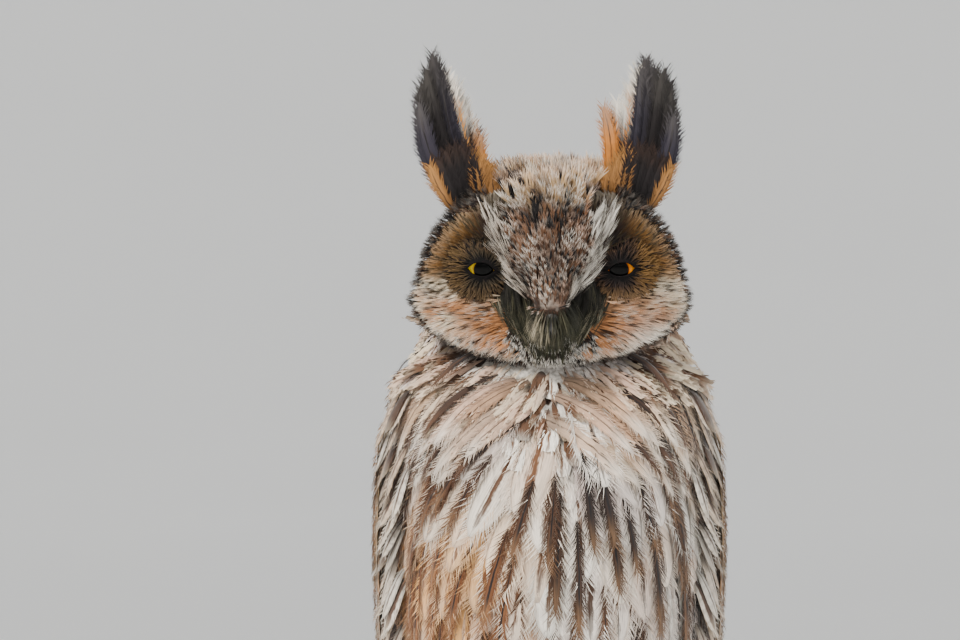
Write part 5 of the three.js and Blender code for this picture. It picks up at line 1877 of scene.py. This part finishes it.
# %% [markdown]
# ## Lids
# The lids are thin shells that slide over the globe. By day they leave only a small opening
# with a bare black rim, and short dark hairs cover the rest of them, so that the eye sits deep
# in the face. A cut through a full shell would do the same, but formulas of bearing and height
# on the globe give a clean edge to grow the hairs from.

# %% Lids
LID_ACROSS, LID_DEEP = 90, 18
LID_INSIDE, LID_OUTSIDE, LID_RIM = 0.2, 1.1, 0.35  # over the globe, and the thicker edge
OPENING = {"half": 22, "up": 12.5, "down": -10.0, "middle": 7.0}  # degrees on the globe


def lid(side, upper):
    """One lid: points, faces, each point's distance from the opening's edge, and its map."""
    points, faces, from_edge, on_map = [], [], [], []
    sign = 1 if upper else -1
    for layer, radius in ((0, EYE_RADIUS + LID_INSIDE), (1, EYE_RADIUS + LID_OUTSIDE)):
        for i, bearing in enumerate(np.linspace(-105, 105, LID_ACROSS + 1)):
            share = min(1.0, abs(bearing) / OPENING["half"])
            wide_open = (1 - share**2) ** 0.7
            slant = OPENING["middle"] + 0.08 * bearing
            edge = slant + OPENING["up" if upper else "down"] * wide_open + 0.4 * sign
            edge, b = math.radians(edge), math.radians(bearing)
            past = math.radians(max(0, abs(bearing) - OPENING["half"]))
            for j in range(LID_DEEP + 1):
                e = edge + (1.5 * sign - edge) * (j / LID_DEEP) ** 1.6
                r = radius + LID_RIM * math.exp(-((j / 1.3) ** 2)) * layer
                flat = r * math.cos(e)
                points.append((side * flat * math.sin(b), -flat * math.cos(b), r * math.sin(e)))
                from_edge.append(r * math.hypot(e - edge, past) if layer else -1)
                on_map.append((i / LID_ACROSS, (j / LID_DEEP * 0.48) + (0.5 if upper else 0)))
    row = LID_DEEP + 1
    block = (LID_ACROSS + 1) * row
    for i in range(LID_ACROSS):
        for j in range(LID_DEEP):
            a = i * row + j
            faces.append((a, a + row, a + row + 1, a + 1))
            faces.append((block + a, block + a + 1, block + a + row + 1, block + a + row))
        for j in (0, LID_DEEP):
            a = i * row + j
            faces.append((a, block + a, block + a + row, a + row))
    for i in (0, LID_ACROSS):
        for j in range(LID_DEEP):
            a = i * row + j
            faces.append((a, a + 1, block + a + 1, block + a))
    return on_head(np.array(points) + eye_centre(side)), faces, from_edge, on_map


lid_skin, tree, shader = material("lid_skin", 0.8, 0.1)
wrinkle = grain(tree, own_place(tree), 900.0, 3.0)
lid_shade = ramp_between(tree, wrinkle, 0.35, 0.7)
lid_shade = blend_colours(tree, lid_shade, (0.004, 0.004, 0.004), SOOT)
paint(tree, shader, lid_shade)
bump(tree, shader, wrinkle, 0.4, 0.0004)
for name, side in SIDES:
    halves = [lid(side, True), lid(side, False)]
    lids = mesh_object(f"lids_{name}", [half[:2] for half in halves])
    from_edge = np.concatenate([half[2] for half in halves])
    on_map = np.concatenate([half[3] for half in halves])
    corner = np.empty(len(lids.data.loops), int)
    lids.data.loops.foreach_get("vertex_index", corner)
    lids.data.uv_layers.new(name="OFBake").data.foreach_set("uv", on_map[corner].ravel())
    map_roots(lids)
    spots = np.vstack([half[0] for half in halves])
    facing = unit(spots - on_head(eye_centre(side)))
    local = to_head(spots) - eye_centre(side)
    front = local[:, 1] < -3
    lid_tone = mix(mix(SOOT, UMBER, 0.3), mix(DUSK, GOLD, 0.3), smooth(1.5, 6, side * local[:, 0]))
    lid_tone = mix(lid_tone, mix(DUSK, TAN, 0.3), 0.85 * smooth(-2, -5, local[:, 2]))
    # painted shade: the lid hairs round the bird's right eye are darker and more olive, as that eye
    # lies in shade
    lid_tone = mix(lid_tone, mix(OLIVE, DUSK, 0.6), 0.6 * (side < 0))
    away = facing - gaze_way(side)
    away = unit(away - facing * np.sum(away * facing, axis=1)[:, None]) + 0.45 * facing
    plant(f"coat_lids_{name}", lids, fine_hairs, fields(
        smooth(0.6, 1.1, from_edge) * front, away, 3.4, 1.2, lid_tone, SOOT, TAN,
        light_tip=0.15, dark=0.15,
    ), 0.42, 12, face_hair, 0.3)
    lids.data.materials.append(lid_skin)
    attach(lids, "root")

# %% [markdown]
# ## Bill and claws
# Both are horn, laid down in layers along their length, so they are smooth and dark with faint
# growth lines and a soft gloss. The bill is a drawn-out limb that hooks at its tip, and the
# claws are the same form, thinner, closing round the branch.

# %% Horn material
def horn(name, dark, light, scale):
    made, tree, shader = material(name, 0.32, 0.5, coat=0.3)
    layers = grain(tree, own_place(tree), scale, 3.0, stretch=(1, 1, 3))
    shade = blend_colours(tree, ramp_between(tree, layers, 0.35, 0.7), dark, light)
    paint(tree, shader, shade)
    bump(tree, shader, layers, 0.25, 0.0002)
    return made


bill_horn = horn("bill_horn", colour("1a1819"), colour("3d3833"), 500.0)
claw_horn = horn("claw_horn", colour("100e10"), colour("2a2626"), 600.0)

# %% Bill
UPPER_BILL = [(0, -31, -4), (0, -37.4, -10), (0, -40.4, -13.5), (0, -38.8, -18), (0, -39, -21)]
LOWER_BILL = [(0, -29, -10.5), (0, -33.5, -13.5), (0, -36.2, -17.5)]
upper_form = limb(on_head(UPPER_BILL), [4.6, 4.2, 3.4, 2.2, 0.6], 32, 40, 0.85)
lower_form = limb(on_head(LOWER_BILL), [3.6, 3.2, 1.5], 24, 24, 0.8)
upper_bill = mesh_object("bill_upper_horn", [upper_form])
lower_bill = mesh_object("bill_lower_horn", [lower_form])
for piece, node_name in ((upper_bill, "bill_upper"), (lower_bill, "bill_lower")):
    piece.data.materials.append(bill_horn)
    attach(piece, "root")
    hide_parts(node_name)

# %% Claws
for name, side in SIDES:
    for toe_name, root, tip, way in TOES:
        at_x = side * LEG_SPACING / 2 + side * tip
        sink = PERCH_RADIUS + 1.4 - TOE_ARC
        path = [
            on_perch(at_x, CLAW_START + (CLAW_END - CLAW_START) * s, way, TOE_ARC + sink * s)
            for s in (0, 0.3, 0.65, 1)
        ]
        claw = mesh_object(f"claw_horn_{name}_{toe_name}", [limb(path, [2.3, 2, 1.4, 0.4], 20, 24)])
        claw.data.materials.append(claw_horn)
        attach(claw, "root")
        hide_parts(f"claw_{name}_{toe_name}")

# %% [markdown]
# ## Branch and stand
# A cut length of branch has ridged bark round it and two sawn faces with growth rings. The
# ridges are real relief in the mesh, so that they also show in outline. The stand below is
# turned wood with two plain metal rods.

# %% Branch
BRANCH_RINGS, BRANCH_AROUND, BRANCH_ENDS = 96, 120, 6


def branch():
    def at(v, angle):
        flat = BRANCH_ENDS / BRANCH_RINGS
        inner = clamp((v - flat) / (1 - 2 * flat))
        x_mm = -PERCH_LENGTH / 2 + PERCH_LENGTH * inner
        knot = 1.1 * bell(x_mm + 62, 9) * (1 + np.cos(angle + 2))
        knot = knot + 0.25 * np.sin(3 * angle + x_mm * 0.05)
        r = PERCH_RADIUS - 0.3 + abs(x_mm) * 0.002 + np.where(abs(x_mm) > 40, knot, 0)
        far = np.maximum(0, abs(abs(x_mm) - 18) - 12)  # the bark is smoother under the feet
        twist = 1.6 * np.sin(x_mm * 0.13)
        ridge = np.sin(9 * angle + twist + 0.7 * np.sin(x_mm * 0.41 + 3 * angle))
        r = r + 0.28 * ridge * clamp(far / 8 + 0.35)
        r = r * np.minimum(np.minimum(v, 1 - v) / flat, 1)
        return np.stack([x_mm, -r * np.sin(angle), PERCH_AXIS + r * np.cos(angle)], -1)

    return shell(BRANCH_AROUND, BRANCH_RINGS, at)


perch = mesh_object("branch", [branch()])
bark, tree, shader = material("bark", 0.9, 0.2)
spot = own_place(tree)
long_cracks = grain(tree, spot, 230.0, 5.0, 0.6, stretch=(0.25, 1, 1))
speckle = grain(tree, spot, 800.0, 3.0)
cracked = ramp_between(tree, long_cracks, 0.35, 0.65)
shade = blend_colours(tree, cracked, colour("2f241c"), colour("7b6450"))
speckled = ramp_between(tree, speckle, 0.58, 0.75, 0.0, 0.6)
shade = blend_colours(tree, speckled, shade, colour("a39784"))
sideways, cut = calc(tree, "ABSOLUTE", separate(tree, spot)[0]), PERCH_LENGTH / 2 * MM
end = ramp_between(tree, sideways, cut - 0.0003, cut - 0.0001)
from_axis = vector_calc(tree, "SUBTRACT", spot, (0, 0.001, PERCH_AXIS * MM))
from_axis = vector_calc(tree, "LENGTH", vector_calc(tree, "MULTIPLY", from_axis, (0, 1, 1)))
RING_PHASE = 5200.0  # growth rings, in radians a metre from the axis
wave = times(tree, from_axis, RING_PHASE)
rings = calc(tree, "SINE", plus(tree, wave, times(tree, speckle, 2.0)))
rings = ramp_between(tree, rings, -0.6, 0.8)
wood = blend_colours(tree, rings, colour("c7a478"), colour("e0c79d"))
inside = ramp_between(tree, from_axis, 0.0112, 0.0119, 1.0, 0.0)
shade = blend_colours(tree, times(tree, end, inside), shade, wood)
paint(tree, shader, shade)
bump(tree, shader, plus(tree, long_cracks, times(tree, speckle, 0.3)), 0.7, 0.0012)
perch.data.materials.append(bark)
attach(perch, "root")
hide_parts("perch")

# %% Stand
BASE_RADIUS, BASE_HEIGHT, ROD_RADIUS, ROD_SPACING = 92, 14, 3.5, 112
TOP_ROUND, FOOT_ROUND = 2.6, 1.6  # the base's rounded edges


def turned(profile, around=128):
    """A closed turned form from a profile of [radius, height] between two points on the axis."""
    profile = np.asarray(profile, float)
    run = np.linspace(0, 1, len(profile))

    def at(v, angle):
        r, height = np.interp(v, run, profile[:, 0]), np.interp(v, run, profile[:, 1])
        return np.stack([r * np.cos(angle), r * np.sin(angle), height], -1)

    return shell(around, len(profile) - 1, at)


flat_top, flat_foot = BASE_RADIUS - TOP_ROUND, BASE_RADIUS - FOOT_ROUND
under = BASE_HEIGHT - TOP_ROUND
edge = [
    (flat_top + TOP_ROUND * math.sin(a), under + TOP_ROUND * math.cos(a))
    for a in np.radians(np.linspace(0, 90, 9))
]
foot_edge = [
    (flat_foot + FOOT_ROUND * math.cos(a), FOOT_ROUND - FOOT_ROUND * math.sin(a))
    for a in np.radians(np.linspace(0, 90, 6))
]
rise = [(r, BASE_HEIGHT) for r in np.linspace(0, flat_top, 12)[:-1]]
fall = [(r, 0) for r in np.linspace(flat_foot, 0, 8)[1:]]
base = mesh_object("base_turned", [turned(rise + edge + foot_edge + fall)])
turned_wood, tree, shader = material("turned_wood", 0.42, 0.4, coat=0.25)
spot = own_place(tree)
wander = grain(tree, spot, 14.0, 3.0)
lines = plus(tree, times(tree, separate(tree, spot)[1], 480.0), times(tree, wander, 30.0))
lines = ramp_between(tree, calc(tree, "SINE", lines), -1.0, 1.0)
pores = grain(tree, spot, 900.0, 2.0, stretch=(0.08, 1, 1))
shade = blend_colours(tree, lines, colour("533520"), colour("6a472b"))
dark_pores = ramp_between(tree, pores, 0.6, 0.72, 0.0, 0.6)
shade = blend_colours(tree, dark_pores, shade, colour("2c1b10"))
paint(tree, shader, shade)
bump(tree, shader, pores, 0.15, 0.0003)
base.data.materials.append(turned_wood)
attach(base, "root")
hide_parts("stand_base")

rod_metal, tree, shader = material("rod_metal", 0.35, 0.5, metallic=1.0)
brushed = grain(tree, own_place(tree), 500.0, 2.0, stretch=(1, 1, 0.04))
shade = blend_colours(tree, brushed, colour("6d6f73"), colour("9a9ca0"))
paint(tree, shader, shade)
bump(tree, shader, brushed, 0.1, 0.0001)
for name, side in SIDES:
    bottom, top = BASE_HEIGHT + GAP, PERCH_AXIS - PERCH_RADIUS + 0.6
    r = ROD_RADIUS
    shaft = [(r, top), (r, (top + bottom) / 2), (r, bottom + 0.4)]
    profile = [(0, top), *shaft, (r - 0.3, bottom), (0, bottom)]
    points, faces = turned(profile, 48)
    rod = mesh_object(f"rod_{name}", [(points + np.array([side * ROD_SPACING / 2, 0, 0]), faces)])
    rod.data.materials.append(rod_metal)
    for face_of_rod in rod.data.polygons:
        face_of_rod.use_smooth = abs(face_of_rod.normal.z) < 0.5
    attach(rod, "root")
    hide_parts(f"stand_rod_{name}")

# %% [markdown]
# ## Clearing up and measuring
# The small feather models and the section only served as patterns. They leave the scene, and
# the script prints how heavy each coat is.

# %% Clear and measure
for made in FEATHER_SETS:
    for thing in list(made.objects):
        bpy.data.objects.remove(thing)
    bpy.data.collections.remove(made)
for thing in (vane_section, barb):
    bpy.data.objects.remove(thing)
sizes = [triangles(thing) for thing in coat_pieces]
print(f"coat pieces: {len(sizes)}, {sum(sizes)} triangles, largest {max(sizes)}")
